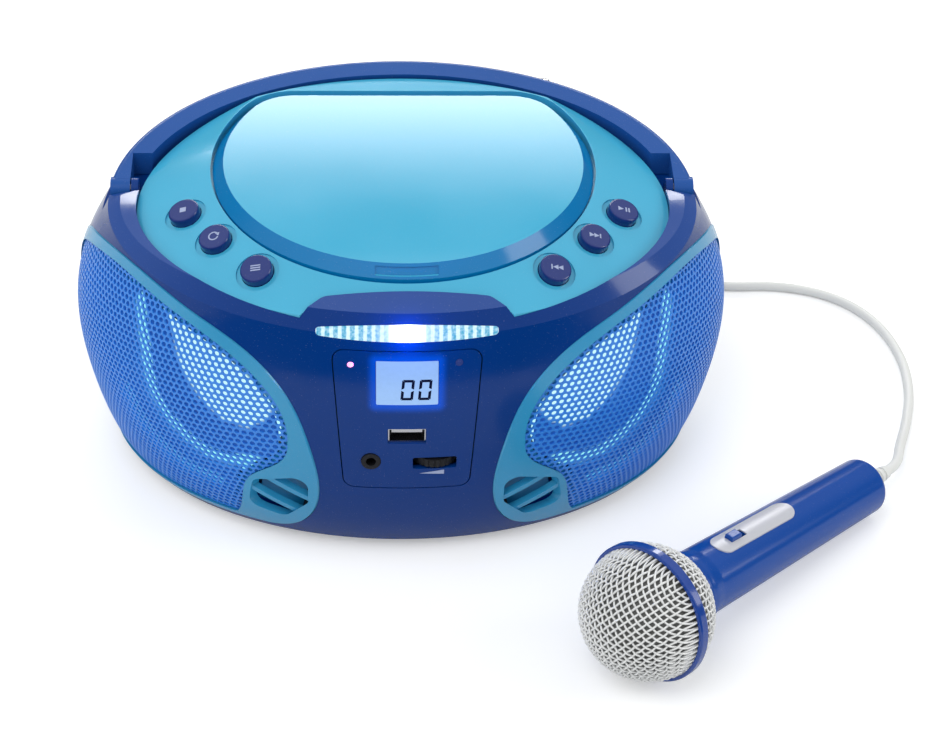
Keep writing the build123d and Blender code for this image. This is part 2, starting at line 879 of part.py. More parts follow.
# ---------------------------------------------------------------- loudspeaker sides
trim_skin = egg_layer(-trim_proud, wall)
lip_skin = egg_layer(grille_recess + grille_sheet, grille_recess + grille_sheet + lip_thickness)
grille_skin = egg_layer(grille_recess, grille_recess + grille_sheet)
grille_hole = side_prism(grille_outline(0), side_near, side_far)
lip_hole = side_prism(grille_outline(-grille_lip), side_near, side_far)
port_hole = side_prism(port_outline(0), side_near, side_far)
trim_prism = side_prism(trim_outline(0), side_near, side_far)
cavity_inside = body_envelope(wall + 0.3)

with BuildPart() as trim_left:
    add(clip(trim_skin, trim_prism))
    add(grille_hole, mode=Mode.SUBTRACT)
    add(port_hole, mode=Mode.SUBTRACT)

with BuildPart() as port_fins:
    with BuildSketch(left_side.offset(side_near)):
        with Locations(Location((25, 23.5), -33), Location((31, 30.5), -33)):
            Rectangle(26, port_fin)
    extrude(amount=side_far - side_near)
    add(clip(egg_layer(0.2, wall), side_prism(port_outline(1), side_near, side_far)),
        mode=Mode.INTERSECT)

with BuildPart() as lip_left:
    add(clip(lip_skin, side_prism(grille_outline(0.5), side_near, side_far)))
    add(lip_hole, mode=Mode.SUBTRACT)

with BuildPart() as trim_whole:
    add(trim_left.part)
    add(port_fins.part)
    add(lip_left.part)

with BuildPart() as grille_left:
    add(clip(grille_skin, side_prism(grille_outline(-fit), side_near, side_far)))

for name, piece in (("trim", trim_whole.part), ("grille", grille_left.part)):
    for side, copy in zip(("left", "right"), pair(piece)):
        with BuildPart() as flank:
            add(copy)
        finish(flank, f"{name}_{side}")

speaker_face = left_side.offset(speaker_plane)
basket = Axis(speaker_face.from_local_coords((speaker_u, speaker_w, 0)), speaker_face.z_dir)
speaker_spot = Plane(origin=basket.position, x_dir=speaker_face.x_dir, z_dir=speaker_face.z_dir)
speaker_cut = Plane(origin=basket.position, x_dir=speaker_face.x_dir,
                    z_dir=speaker_face.y_dir * -1)

with BuildPart() as baffle_left:
    with BuildSketch(speaker_face.offset(-baffle_sheet)):
        with Locations((-18, 52)):
            Rectangle(104, 80)
        with Locations((speaker_u, speaker_w)):
            Circle(speaker_hole_radius, mode=Mode.SUBTRACT)
    extrude(amount=baffle_sheet)
    add(cavity_inside, mode=Mode.INTERSECT)

# frame, from the flange round the basket to the magnet behind it
with BuildPart() as speaker_left:
    with BuildSketch(speaker_cut):
        with BuildLine():
            Polyline((surround_radius - 1, speaker_flange), (speaker_radius, speaker_flange),
                     (speaker_radius, 0), (speaker_hole_radius - 0.3, 0),
                     (magnet_radius + 2, -basket_depth), (magnet_radius, -basket_depth),
                     (magnet_radius, -basket_depth - magnet_depth),
                     (0, -basket_depth - magnet_depth), (0, 1.2 - basket_depth),
                     (magnet_radius + 1, 1.2 - basket_depth), (surround_radius - 2, 1.2),
                     close=True)
        make_face()
    revolve(axis=basket)

with BuildPart() as cone_left:
    with BuildSketch(speaker_cut):
        with BuildLine():
            roll = surround_radius - 1.2
            face = speaker_flange
            throat = speaker_flange - cone_depth
            Polyline((roll, face + 0.1), (roll, face + 1.6), (roll - 1.4, face + 2.2),
                     (cone_radius, face + 0.9), (cone_throat + 0.6, throat + 1.2),
                     (cone_throat - 2, throat + 4.4), (0, throat + 6), (0, throat + 5),
                     (cone_throat - 2.4, throat + 3.4), (cone_throat, throat),
                     (cone_radius, face - 0.3), (roll - 1.4, face + 1), close=True)
        make_face()
    revolve(axis=basket)

with BuildPart() as ring_left:
    with BuildSketch(speaker_spot):
        Circle(ring_outer)
        Circle(ring_inner, mode=Mode.SUBTRACT)
    extrude(amount=ring_depth)

for name, piece in (("speaker_frame", speaker_left.part), ("speaker_cone", cone_left.part)):
    for side, copy in zip(("left", "right"), pair(piece)):
        with BuildPart() as half:
            add(copy)
        finish(half, f"{name}_{side}")

for name, piece in (("speaker_baffles", baffle_left.part), ("light_rings", ring_left.part)):
    with BuildPart() as both:
        for copy in pair(piece):
            add(copy)
    finish(both, name)

# ---------------------------------------------------------------- control panel
panel_skin = egg_layer(0, panel_sheet)

with BuildPart() as panel_posts:
    with BuildSketch(Plane.XZ.offset(control_board_y)):
        for height in (panel_post_low, panel_post_high):
            with Locations((-panel_post_x, height), (panel_post_x, height)):
                Circle(post_radius)
    extrude(amount=panel_far - control_board_y)
    add(outer_egg, mode=Mode.INTERSECT)

with BuildPart() as control_panel:
    add(clip(panel_skin, front_prism(panel_outline(0), panel_near, panel_far)))
    add(panel_posts.part)
    with BuildSketch(Plane.XZ.offset(control_board_y + 2)):
        add(box_outline(0, lcd_height, lcd_width + 2 * fit, lcd_tall + 2 * fit, 0.6))
        add(box_outline(0, usb_height, usb_width + 2 * fit, usb_tall + 2 * fit, 0.5))
        add(round_outline(jack_x, jack_height, jack_nose_radius + fit))
        add(box_outline(wheel_x, wheel_height, wheel_slot_width, wheel_slot_tall, 0.8))
        add(round_outline(*power_lamp, lamp_radius + 0.05))
        add(round_outline(*stereo_lamp, lamp_radius + 0.05))
    extrude(amount=panel_far - control_board_y, mode=Mode.SUBTRACT)
finish(control_panel, "control_panel")

with BuildPart() as lcd_window:
    add(clip(egg_layer(0.1, 0.1 + window_sheet),
             front_prism(box_outline(0, lcd_height, lcd_width, lcd_tall, 0.5), panel_near,
                         panel_far)))
finish(lcd_window, "lcd_window")

with BuildPart() as lcd_module:
    with BuildSketch(Plane(origin=(0, -lcd_front_y, lcd_height), x_dir=(1, 0, 0),
                           z_dir=(0, -cos(radians(lcd_lean)), sin(radians(lcd_lean))))):
        Rectangle(lcd_width + 2 * lcd_border, lcd_tall + 2 * lcd_border)
    extrude(amount=-12)
    split(bisect_by=Plane.XZ.offset(control_board_y), keep=Keep.TOP)
finish(lcd_module, "lcd_module")

with BuildPart() as indicator_lenses:
    with BuildSketch(Plane.XZ.offset(control_board_y)):
        add(round_outline(*power_lamp, lamp_radius))
        add(round_outline(*stereo_lamp, lamp_radius))
    extrude(amount=panel_far - control_board_y)
    add(outer_egg, mode=Mode.INTERSECT)
finish(indicator_lenses, "indicator_lenses")

with BuildPart() as usb_socket:
    with BuildSketch(Plane.XZ.offset(control_board_y)):
        add(box_outline(0, usb_height, usb_width, usb_tall, 0.5))
    extrude(amount=usb_front_y - control_board_y)
    with BuildSketch(Plane.XZ.offset(control_board_y + 1)):
        with Locations((0, usb_height)):
            Rectangle(usb_width - 2 * usb_sheet, usb_tall - 2 * usb_sheet)
    extrude(amount=20, mode=Mode.SUBTRACT)
    with BuildSketch(Plane.XZ.offset(control_board_y + 0.5)):
        with Locations((0, usb_height + 0.9)):
            Rectangle(usb_width - 2.4, 1.6)
    extrude(amount=usb_front_y - control_board_y - 2)
finish(usb_socket, "usb_socket")

with BuildPart() as mic_jack:
    with BuildSketch(Plane.XZ.offset(control_board_y)):
        with Locations((jack_x, jack_height)):
            Rectangle(jack_body, jack_body)
    extrude(amount=jack_front_y - control_board_y - 3.6)
    with BuildSketch(Plane.XZ.offset(control_board_y)):
        with Locations((jack_x, jack_height)):
            Circle(jack_nose_radius)
    extrude(amount=jack_front_y - control_board_y)
    with BuildSketch(Plane.XZ.offset(jack_front_y)):
        with Locations((jack_x, jack_height)):
            Circle(jack_bore_radius)
    extrude(amount=-(jack_front_y - control_board_y), mode=Mode.SUBTRACT)
finish(mic_jack, "mic_jack")

with BuildPart() as control_board:
    with BuildSketch(Plane.XZ.offset(control_board_y)):
        with Locations((0, (control_board_low + control_board_high) / 2)):
            Rectangle(2 * control_board_half, control_board_high - control_board_low)
    extrude(amount=-control_board_sheet)
    with Locations((wheel_x, -control_board_y, wheel_height)):
        Box(2 * wheel_radius, 4 * control_board_sheet, wheel_thickness + 1.6,
            mode=Mode.SUBTRACT)
    # potentiometer under the microphone volume wheel
    with Locations((wheel_x, -control_board_y, wheel_height - wheel_thickness / 2 - 0.4)):
        Box(2 * wheel_shaft_radius + 6, wheel_y + 5 - control_board_y, 4,
            align=(Align.CENTER, Align.MAX, Align.MAX))
    with Locations((wheel_x, -wheel_y, wheel_height - wheel_thickness / 2 - 1)):
        Cylinder(wheel_shaft_radius, wheel_thickness + 2,
                 align=(Align.CENTER, Align.CENTER, Align.MIN))
finish(control_board, "control_board")

with BuildPart() as mic_volume_wheel:
    with BuildSketch(Plane.XY.offset(wheel_height - wheel_thickness / 2)):
        with Locations((wheel_x, -wheel_y)):
            Circle(wheel_radius)
            with PolarLocations(wheel_radius, wheel_knurls):
                Circle(0.35, mode=Mode.SUBTRACT)
            Circle(wheel_shaft_radius + pin_run, mode=Mode.SUBTRACT)
    extrude(amount=wheel_thickness)
finish(mic_volume_wheel, "mic_volume_wheel")

# ---------------------------------------------------------------- buttons
button_names = ["stop", "play", "play_mode", "next", "album", "previous"]
for name, plane in zip(button_names, button_planes):
    under = deck_wall + 0.3
    with BuildPart() as button:
        with BuildSketch(plane.offset(-under - button_flange)):
            Circle(button_radius)
        extrude(amount=under + button_flange + button_proud)
        fillet(button.edges().filter_by(GeomType.CIRCLE).sort_by(
            lambda edge: (edge.center() - plane.origin).dot(plane.z_dir))[-1],
            button_top_round)
        with BuildSketch(plane.offset(-under - button_flange)):
            Circle(button_flange_radius)
        extrude(amount=button_flange)
        with BuildSketch(plane.offset(-under - button_flange)):
            Circle(button_stem_radius)
        extrude(amount=-button_stem)
    finish(button, f"{name}_button")

with BuildPart() as button_boards:
    for side in (-1, 1):
        middle = button_planes[2] if side < 0 else button_planes[3]
        depth = deck_wall + 0.3 + button_flange + button_stem + button_travel
        depth += button_board_gap
        base = middle.offset(-depth)
        with BuildSketch(Plane(origin=base.origin, x_dir=(0.62 * side, 0.78, 0),
                               z_dir=base.z_dir)):
            Rectangle(50, 12)
        extrude(amount=-control_board_sheet)
finish(button_boards, "button_boards")

# ---------------------------------------------------------------- disc drive
with BuildPart() as mechanism_chassis:
    with BuildSketch(Plane.XY.offset(plate_height)):
        with Locations(((plate_right - plate_left) / 2, (plate_rear - plate_front) / 2)):
            RectangleRounded(plate_left + plate_right, plate_front + plate_rear, 4)
        with Locations((0, -(sled_front + sled_rear + sled_travel) / 2)):
            Rectangle(2 * sled_half_width + 2, sled_front - sled_rear + sled_travel,
                      mode=Mode.SUBTRACT)
        with Locations((0, well_centre_y)):
            Circle(4, mode=Mode.SUBTRACT)
    extrude(amount=plate_thickness)
    # posts up to the underside of the disc well
    with BuildSketch(Plane.XY.offset(plate_height)):
        for x in (-plate_left + 4, plate_right - 4):
            for y in (4 - plate_front + 12, plate_rear - 4):
                with Locations((x, y)):
                    Circle(plate_post_radius)
    extrude(amount=well_floor_height - well_wall - plate_height)
    # blocks that hold the ends of the guide rods
    for y in (-rod_front, -rod_rear):
        with BuildSketch(Plane.XY.offset(plate_height + plate_thickness)):
            with Locations((-rod_x, y), (rod_x, y)):
                Rectangle(6, rod_block)
        extrude(amount=rod_height + rod_radius + 1 - plate_height - plate_thickness)
    for x in (-rod_x, rod_x):
        with BuildSketch(Plane.XZ.offset(rod_rear - rod_block)):
            with Locations((x, rod_height)):
                Circle(rod_radius + 0.01)
        extrude(amount=rod_front - rod_rear + 2 * rod_block, mode=Mode.SUBTRACT)
    gear_x = sled_half_width + rack_back_width + tooth_module + tooth_module * gear_teeth / 2
    with BuildSketch(Plane.XY.offset(plate_height)):
        with Locations((gear_x, -gear_y)):
            Circle(gear_shaft_radius)
    extrude(amount=gear_low + gear_thickness + 1 - plate_height)
    with BuildSketch(Plane.XY.offset(plate_height)):
        with Locations((gear_x, -gear_y)):
            Circle(gear_shaft_radius + 2)
    extrude(amount=gear_low - 0.1 - plate_height)
finish(mechanism_chassis, "mechanism_chassis")

with BuildPart() as guide_rods:
    for x in (-rod_x, rod_x):
        with BuildSketch(Plane.XZ.offset(rod_rear - rod_block / 2)):
            with Locations((x, rod_height)):
                Circle(rod_radius)
        extrude(amount=rod_front - rod_rear + rod_block)
finish(guide_rods, "guide_rods")

with BuildPart() as spindle_motor:
    with Locations((0, well_centre_y, plate_height)):
        Cylinder(motor_radius, motor_height, align=(Align.CENTER, Align.CENTER, Align.MAX))
        Cylinder(3.6, plate_thickness, align=(Align.CENTER, Align.CENTER, Align.MIN))
        Cylinder(spindle_radius, turntable_height + turntable_sheet - plate_height,
                 align=(Align.CENTER, Align.CENTER, Align.MIN))
finish(spindle_motor, "spindle_motor")

with BuildPart() as turntable:
    with BuildSketch(Plane.XZ.offset(-well_centre_y)):
        with BuildLine():
            Polyline((spindle_radius + pin_run, turntable_height),
                     (turntable_radius, turntable_height),
                     (turntable_radius, turntable_height + turntable_sheet),
                     (hub_radius, turntable_height + turntable_sheet),
                     (hub_radius, turntable_height + turntable_sheet + hub_height - 1),
                     (hub_radius - 1.4, turntable_height + turntable_sheet + hub_height),
                     (spindle_radius + pin_run, turntable_height + turntable_sheet
                      + hub_height), close=True)
        make_face()
    revolve(axis=Axis((0, well_centre_y, 0), (0, 0, 1)))
    with BuildSketch(Plane.XY.offset(turntable_height + turntable_sheet)):
        with Locations((0, well_centre_y)):
            with PolarLocations(hub_radius - 0.5, 3):
                Circle(ball_radius)
    extrude(amount=hub_height - 1.2)
finish(turntable, "turntable")


def rack_tooth(play):
    # One rack tooth pointing along +X from its root line, thinned by the play.
    root = -1.25 * tooth_module
    tip = tooth_module
    half = pi * tooth_module / 4 - play
    lean = tan(radians(20))
    return [(root, -half + lean * root), (tip, -half + lean * tip),
            (tip, half - lean * tip), (root, half - lean * root)]


rack_pitch_x = sled_half_width + rack_back_width + tooth_module
with BuildPart() as laser_sled:
    with BuildSketch(Plane.XY.offset(sled_low)):
        with Locations((0, -(sled_front + sled_rear) / 2)):
            RectangleRounded(2 * sled_half_width, sled_front - sled_rear, 1.5)
    extrude(amount=sled_high - sled_low)
    for x in (-rod_x, rod_x):
        with BuildSketch(Plane.XZ.offset(sled_rear - 1)):
            with Locations((x, rod_height)):
                Circle(rod_radius + pin_run)
        extrude(amount=sled_front - sled_rear + 2, mode=Mode.SUBTRACT)
    with Locations((0, -lens_y, sled_high)):
        Cylinder(lens_radius + 2, 0.6, align=(Align.CENTER, Align.CENTER, Align.MIN))
        Cylinder(lens_radius, lens_height - sled_high,
                 align=(Align.CENTER, Align.CENTER, Align.MIN))
    # rack along the right side of the sled
    with BuildSketch(Plane.XY.offset(gear_low)):
        with Locations((sled_half_width - 0.6, -(rack_front + rack_rear) / 2)):
            Rectangle(rack_pitch_x - 1.25 * tooth_module - sled_half_width + 0.6,
                      rack_front - rack_rear, align=(Align.MIN, Align.CENTER))
        count = int((rack_front - rack_rear) / (pi * tooth_module)) - 1
        for index in range(-count, count + 1):
            middle = -gear_y + index * pi * tooth_module
            if -rack_front + 2 < middle < -rack_rear - 2:
                with Locations((rack_pitch_x, middle)):
                    Polygon(*rack_tooth(gear_play), align=None)
    extrude(amount=gear_thickness)
finish(laser_sled, "laser_sled")


def involute(base, turn):
    return (base * (cos(turn) + turn * sin(turn)), base * (sin(turn) - turn * cos(turn)))


pitch_radius = tooth_module * gear_teeth / 2
base_radius = pitch_radius * cos(radians(20))
tip_radius = pitch_radius + 0.9 * tooth_module
root_radius = pitch_radius - 1.2 * tooth_module
reach = sqrt((tip_radius / base_radius) ** 2 - 1)
roll = sqrt((pitch_radius / base_radius) ** 2 - 1)
half_tooth = pi / (2 * gear_teeth) - gear_play / pitch_radius + roll - atan2(roll, 1)
upper = [Vector(*involute(base_radius, reach * step / 4)).rotate(Axis.Z, -degrees(half_tooth))
         for step in range(5)]
lower = [Vector(point.X, -point.Y) for point in upper]
with BuildSketch() as gear_tooth:
    with BuildLine():
        Spline(*upper)
        Line(upper[-1], lower[-1])
        Spline(*reversed(lower))
        Polyline(lower[0], (root_radius - 0.5, lower[0].Y), (root_radius - 0.5, upper[0].Y),
                 upper[0])
    make_face()

with BuildPart() as drive_gear:
    with BuildSketch(Plane.XY.offset(gear_low)):
        with Locations((gear_x, -gear_y)):
            Circle(root_radius)
            with PolarLocations(0, gear_teeth, start_angle=180 / gear_teeth):
                add(gear_tooth.sketch)
            Circle(gear_shaft_radius + pin_run, mode=Mode.SUBTRACT)
    extrude(amount=gear_thickness)
finish(drive_gear, "drive_gear")

# ---------------------------------------------------------------- base and rear
# four corner feet and one pad under the middle
with BuildPart() as feet:
    with Locations((0, 0, 0), *[(x, y, 0) for x in (-foot_x, foot_x)
                                for y in (-foot_y, foot_y)]):
        Cylinder(foot_radius, foot_height, align=(Align.CENTER, Align.CENTER, Align.MIN))
    chamfer(feet.edges().group_by(Axis.Z)[0], 0.6)
finish(feet, "feet")

with BuildPart() as main_board:
    with BuildSketch(Plane.XY.offset(board_low)):
        with Locations((board_x, 0)):
            Rectangle(board_length, board_width)
        with Locations((board_tail_x, board_width / 2 - 1)):
            Rectangle(board_tail_width, board_tail_rear - board_width / 2 + 1,
                      align=(Align.CENTER, Align.MIN))
    extrude(amount=board_sheet)
    # volume control, function switch body and the larger components
    with BuildSketch(Plane.XY.offset(board_low + board_sheet)):
        with Locations((volume_x, volume_y + 3)):
            Rectangle(2 * volume_pot_radius, 18, align=(Align.CENTER, Align.MAX))
    extrude(amount=volume_low - 0.3 - board_low - board_sheet)
    with BuildSketch(Plane.XY.offset(volume_low - 0.3)):
        with Locations((volume_x, volume_y)):
            Circle(wheel_shaft_radius)
    extrude(amount=volume_thickness + 0.6)
    with BuildSketch(Plane.XY.offset(board_low + board_sheet)):
        with Locations((switch_x, switch_body_front + 3)):
            Rectangle(14, 6)
    extrude(amount=switch_height + 2 - board_low - board_sheet)
    with BuildSketch(Plane.XY.offset(board_low + board_sheet)):
        with GridLocations(16, 18, 3, 2):
            Circle(5)
        with Locations((62, 0)):
            Rectangle(12, 46)
    extrude(amount=12)
finish(main_board, "main_board")

with BuildPart() as transformer:
    with Locations((transformer_x, transformer_y, foot_height + wall)):
        Box(transformer_length, transformer_width, 2, align=(Align.CENTER, Align.CENTER,
                                                             Align.MIN))
        Box(transformer_length - 14, transformer_width - 2, transformer_height,
            align=(Align.CENTER, Align.CENTER, Align.MIN))
    with Locations((transformer_x, transformer_y, foot_height + wall + 4)):
        Box(transformer_length - 18, transformer_width + 8, transformer_height - 8,
            align=(Align.CENTER, Align.CENTER, Align.MIN))
finish(transformer, "transformer")

battery_block = rear_prism(
    box_outline(0, (battery_low + battery_high) / 2, 2 * battery_half_width + 2 * battery_wall,
                battery_high - battery_low, 3), battery_front, 120)
with BuildPart() as battery_box:
    add(clip(battery_block, body_envelope(wall)))
    with BuildSketch(Plane.XZ.offset(-battery_front - battery_wall)):
        with Locations((0, (battery_low + battery_high) / 2)):
            Rectangle(2 * battery_half_width, battery_high - battery_low - 2 * battery_wall)
    extrude(amount=-80, mode=Mode.SUBTRACT)
    # rib between the two rows of cells
    with BuildSketch(Plane.XZ.offset(-battery_front)):
        with Locations((0, (battery_low + battery_high) / 2)):
            Rectangle(2 * battery_half_width, 1.6)
    extrude(amount=-14)
finish(battery_box, "battery_box")

with BuildPart() as battery_door:
    add(clip(egg_layer(0, wall), rear_prism(
        box_outline(0, (door_low + door_high) / 2, 2 * door_half_width, door_high - door_low,
                    door_corner), battery_front, 120)))
finish(battery_door, "battery_door")

inlet_block = rear_prism(box_outline(inlet_x, inlet_height, inlet_width, inlet_tall, 3),
                         inlet_front, 120)
with BuildPart() as ac_inlet:
    add(clip(inlet_block, body_envelope(0.8)))
    with BuildSketch(Plane.XZ.offset(-inlet_front - 2)):
        with Locations((inlet_x, inlet_height)):
            SlotOverall(inlet_width - 5, 7.4)
    extrude(amount=-40, mode=Mode.SUBTRACT)
    with BuildSketch(Plane.XZ.offset(-inlet_front - 1)):
        with Locations((inlet_x - 3.5, inlet_height), (inlet_x + 3.5, inlet_height)):
            Circle(1.2)
    extrude(amount=-inlet_depth)
finish(ac_inlet, "ac_inlet")

with BuildPart() as volume_knob:
    with BuildSketch(Plane.XY.offset(volume_low)):
        with Locations((volume_x, volume_y)):
            Circle(volume_radius)
            with PolarLocations(volume_radius, wheel_knurls):
                Circle(0.5, mode=Mode.SUBTRACT)
            Circle(wheel_shaft_radius + pin_run, mode=Mode.SUBTRACT)
    extrude(amount=volume_thickness)
finish(volume_knob, "volume_knob")

with BuildPart() as function_switch:
    with Locations((switch_x, switch_body_front + 6.1, switch_height)):
        Box(3, switch_knob_reach - switch_body_front - 6.1, 2.4,
            align=(Align.CENTER, Align.MIN, Align.CENTER))
    with Locations((switch_x, switch_knob_reach, switch_height)):
        Box(6, 3.4, 3.4, align=(Align.CENTER, Align.MAX, Align.CENTER))
finish(function_switch, "function_switch")

# ---------------------------------------------------------------- aerial
pivot = Plane(origin=(aerial_x, aerial_y, aerial_height), x_dir=(1, 0, 0), z_dir=(0, -1, 0))
with BuildPart() as aerial_knuckle:
    with Locations((aerial_x, aerial_y, aerial_height)):
        Sphere(aerial_ball)
        Cylinder(aerial_stem_radius, aerial_height - pedestal_low,
                 align=(Align.CENTER, Align.CENTER, Align.MAX))
        Box(3 * aerial_ball, aerial_slot, 2 * aerial_ball - 2,
            align=(Align.CENTER, Align.CENTER, Align.CENTER), mode=Mode.SUBTRACT)
        Box(2 * aerial_ball, aerial_slot, 3 * aerial_ball,
            align=(Align.CENTER, Align.CENTER, Align.MIN), mode=Mode.SUBTRACT)
        Cylinder(aerial_pin_radius, 2 * aerial_ball - 2, rotation=(90, 0, 0))
finish(aerial_knuckle, "aerial_knuckle")

with BuildPart() as aerial_tube:
    with BuildSketch(pivot):
        Circle(3.0)
        Rectangle(aerial_ball + 3, 4.4, align=(Align.MIN, Align.CENTER))
        Circle(aerial_pin_radius + pin_run, mode=Mode.SUBTRACT)
    extrude(amount=aerial_slot / 2 - 0.1, both=True)
    with Locations((aerial_x + aerial_ball + 0.6, aerial_y, aerial_height)):
        Cylinder(aerial_tube_radius, aerial_length, rotation=(0, 90, 0),
                 align=(Align.CENTER, Align.CENTER, Align.MIN))
    with Locations((aerial_x + aerial_ball + 4.6, aerial_y, aerial_height)):
        Cylinder(aerial_rod_radius + pin_run, aerial_length, rotation=(0, 90, 0),
                 align=(Align.CENTER, Align.CENTER, Align.MIN), mode=Mode.SUBTRACT)
finish(aerial_tube, "aerial_tube")

with BuildPart() as aerial_rod:
    with Locations((aerial_x + aerial_ball + 5.2, aerial_y, aerial_height)):
        Cylinder(aerial_rod_radius, aerial_length - 4, rotation=(0, 90, 0),
                 align=(Align.CENTER, Align.CENTER, Align.MIN))
    with Locations((aerial_x + aerial_ball + 1.0 + aerial_length, aerial_y, aerial_height)):
        Cylinder(aerial_tube_radius + 0.4, 5, rotation=(0, 90, 0),
                 align=(Align.CENTER, Align.CENTER, Align.MIN))
    fillet(aerial_rod.edges().filter_by(GeomType.CIRCLE).sort_by(Axis.X)[-1], 1.5)
finish(aerial_rod, "aerial_rod")

# ================================================================ microphone
mic_lean = atan2(band_radius - mic_tail_radius, mic_tail - mic_edge)
mic_along = Vector(cos(radians(mic_turn)) * cos(mic_lean), sin(radians(mic_turn)) * cos(mic_lean),
                   -sin(mic_lean))
mic_middle = Vector(mic_x, mic_y, band_radius * cos(mic_lean))
mic_axis = Axis(mic_middle, mic_along)
mic_side = Plane(origin=mic_middle, x_dir=mic_along,
                 z_dir=(sin(radians(mic_turn)), -cos(radians(mic_turn)), 0))
mic_top = Plane(origin=mic_middle, x_dir=mic_along, z_dir=mic_side.y_dir)


def mic_station(distance):
    # Plane square to the microphone's axis, at a distance behind the ball's middle.
    return Plane(origin=mic_middle + mic_along * distance, x_dir=mic_side.y_dir, z_dir=mic_along)


mic_taper = (mic_grip_radius - mic_tail_radius) / (mic_tail - mic_edge - mic_grip_start)


def grip_cone(proud, start, end):
    # Tapering solid of the grip between two stations, grown outward by proud.
    with BuildPart() as cone:
        with BuildSketch(mic_side):
            with BuildLine():
                Polyline((start, 0),
                         (start, mic_grip_radius + proud - mic_taper * (start - mic_grip_start)),
                         (end, mic_grip_radius + proud - mic_taper * (end - mic_grip_start)),
                         (end, 0), close=True)
            make_face()
        revolve(axis=mic_axis)
    return cone.part


def mic_upright(middle, length, width, low):
    # Straight-sided block or slot standing on the upper side of the grip.
    with BuildPart() as block:
        with BuildSketch(mic_top.offset(low)):
            with Locations((middle, 0)):
                Rectangle(length, width)
        extrude(amount=20)
    return block.part


with BuildPart() as mic_body:
    with BuildSketch(mic_side):
        with BuildLine():
            Polyline((mic_neck, 0), (mic_neck, mic_collar_radius),
                     (mic_neck + 2, mic_collar_radius))
            flare = Spline((mic_neck + 2, mic_collar_radius),
                           (mic_neck + 5, mic_grip_radius + 0.6),
                           (mic_grip_start, mic_grip_radius),
                           tangents=((0, -1), (1, -mic_taper)))
            side_line = Line(flare @ 1, (mic_tail - mic_edge, mic_tail_radius))
            cap = ThreePointArc(side_line @ 1,
                                (mic_tail - 0.29 * mic_edge, mic_tail_radius - 0.29 * mic_edge),
                                (mic_tail, mic_tail_radius - mic_edge))
            Polyline(cap @ 1, (mic_tail, 0), (mic_neck, 0))
        make_face()
    revolve(axis=mic_axis)
    with BuildSketch(mic_station(mic_neck)):
        Circle(mic_tail_radius - mic_wall)
    extrude(amount=mic_tail - mic_neck - mic_wall, mode=Mode.SUBTRACT)
    with BuildSketch(mic_station(mic_tail - 2 * mic_wall)):
        Circle(relief_radius)
    extrude(amount=4 * mic_wall, mode=Mode.SUBTRACT)
    add(mic_upright(mic_switch_at + mic_switch_travel / 2, slot_length, slot_width, 0),
        mode=Mode.SUBTRACT)
finish(mic_body, "mic_body")

mesh_seat = sqrt(ball_radius_mic**2 - band_half_width**2)
with BuildPart() as mic_mesh:
    for inset, mode in ((0, Mode.ADD), (mesh_sheet, Mode.SUBTRACT)):
        with BuildSketch(mic_side):
            with BuildLine():
                nose = ThreePointArc((inset - ball_radius_mic, 0),
                                     ((inset - ball_radius_mic) * cos(radians(45)),
                                      (ball_radius_mic - inset) * sin(radians(45))),
                                     (-band_half_width, mesh_seat - inset))
                waist = Line(nose @ 1, (band_half_width, mesh_seat - inset))
                neck = Spline(waist @ 1, (10, 21.4 - inset), (mic_neck, mic_collar_radius + 1
                                                              - inset),
                              tangents=((1, 0), (0.5, -1)))
                Polyline(neck @ 1, (mic_neck, 0), (inset - ball_radius_mic, 0))
            make_face()
        revolve(axis=mic_axis, mode=mode)
    # collar ring that closes the basket on the handle
    with BuildSketch(mic_station(mic_neck)):
        Circle(mic_collar_radius + 1)
        Circle(mic_tail_radius - mic_wall, mode=Mode.SUBTRACT)
    extrude(amount=-1.5)
finish(mic_mesh, "mic_mesh")

with BuildPart() as mic_band:
    with BuildSketch(mic_station(-band_half_width)):
        Circle(band_radius)
    extrude(amount=2 * band_half_width)
    fillet(mic_band.edges().filter_by(GeomType.CIRCLE), 0.7)
    with BuildSketch(mic_station(-2 * band_half_width)):
        Circle(mesh_seat)
    extrude(amount=4 * band_half_width, mode=Mode.SUBTRACT)
finish(mic_band, "mic_band")

with BuildPart() as plate_block:
    with BuildSketch(mic_top.offset(5)):
        with Locations(((plate_start + plate_end) / 2, 0)):
            SlotOverall(plate_end - plate_start, 2 * plate_half_width)
    extrude(amount=12)

with BuildPart() as mic_plate:
    add(grip_cone(plate_proud, plate_start - 2, plate_end + 2))
    add(grip_cone(0, plate_start - 3, plate_end + 3), mode=Mode.SUBTRACT)
    add(plate_block.part, mode=Mode.INTERSECT)
    add(mic_upright(mic_switch_at + mic_switch_travel / 2, slot_length, slot_width, 0),
        mode=Mode.SUBTRACT)
finish(mic_plate, "mic_plate")

with BuildPart() as mic_switch:
    with BuildSketch(mic_top.offset(mic_tail_radius - mic_wall)):
        with Locations((mic_switch_at, 0)):
            Rectangle(slot_length - mic_switch_travel - 0.4, slot_width - 2 * pin_run)
    extrude(amount=mic_grip_radius + 1.9 - mic_tail_radius + mic_wall)
    fillet(mic_switch.faces().sort_by(Axis(mic_middle, mic_top.z_dir))[-1].edges(), 0.5)
finish(mic_switch, "mic_switch")

with BuildPart() as mic_strain_relief:
    with BuildSketch(mic_side):
        with BuildLine():
            Polyline((mic_tail - mic_wall, 0), (mic_tail - mic_wall, relief_radius),
                     (mic_tail + 2, relief_radius), (mic_tail + relief_length, relief_end_radius),
                     (mic_tail + relief_length, 0), close=True)
        make_face()
    revolve(axis=mic_axis)
    for step in range(3):
        with BuildSketch(mic_station(mic_tail + 4 + 3 * step)):
            Circle(relief_radius + 1)
            Circle(2.3, mode=Mode.SUBTRACT)
        extrude(amount=1.2, mode=Mode.SUBTRACT)
finish(mic_strain_relief, "mic_strain_relief")

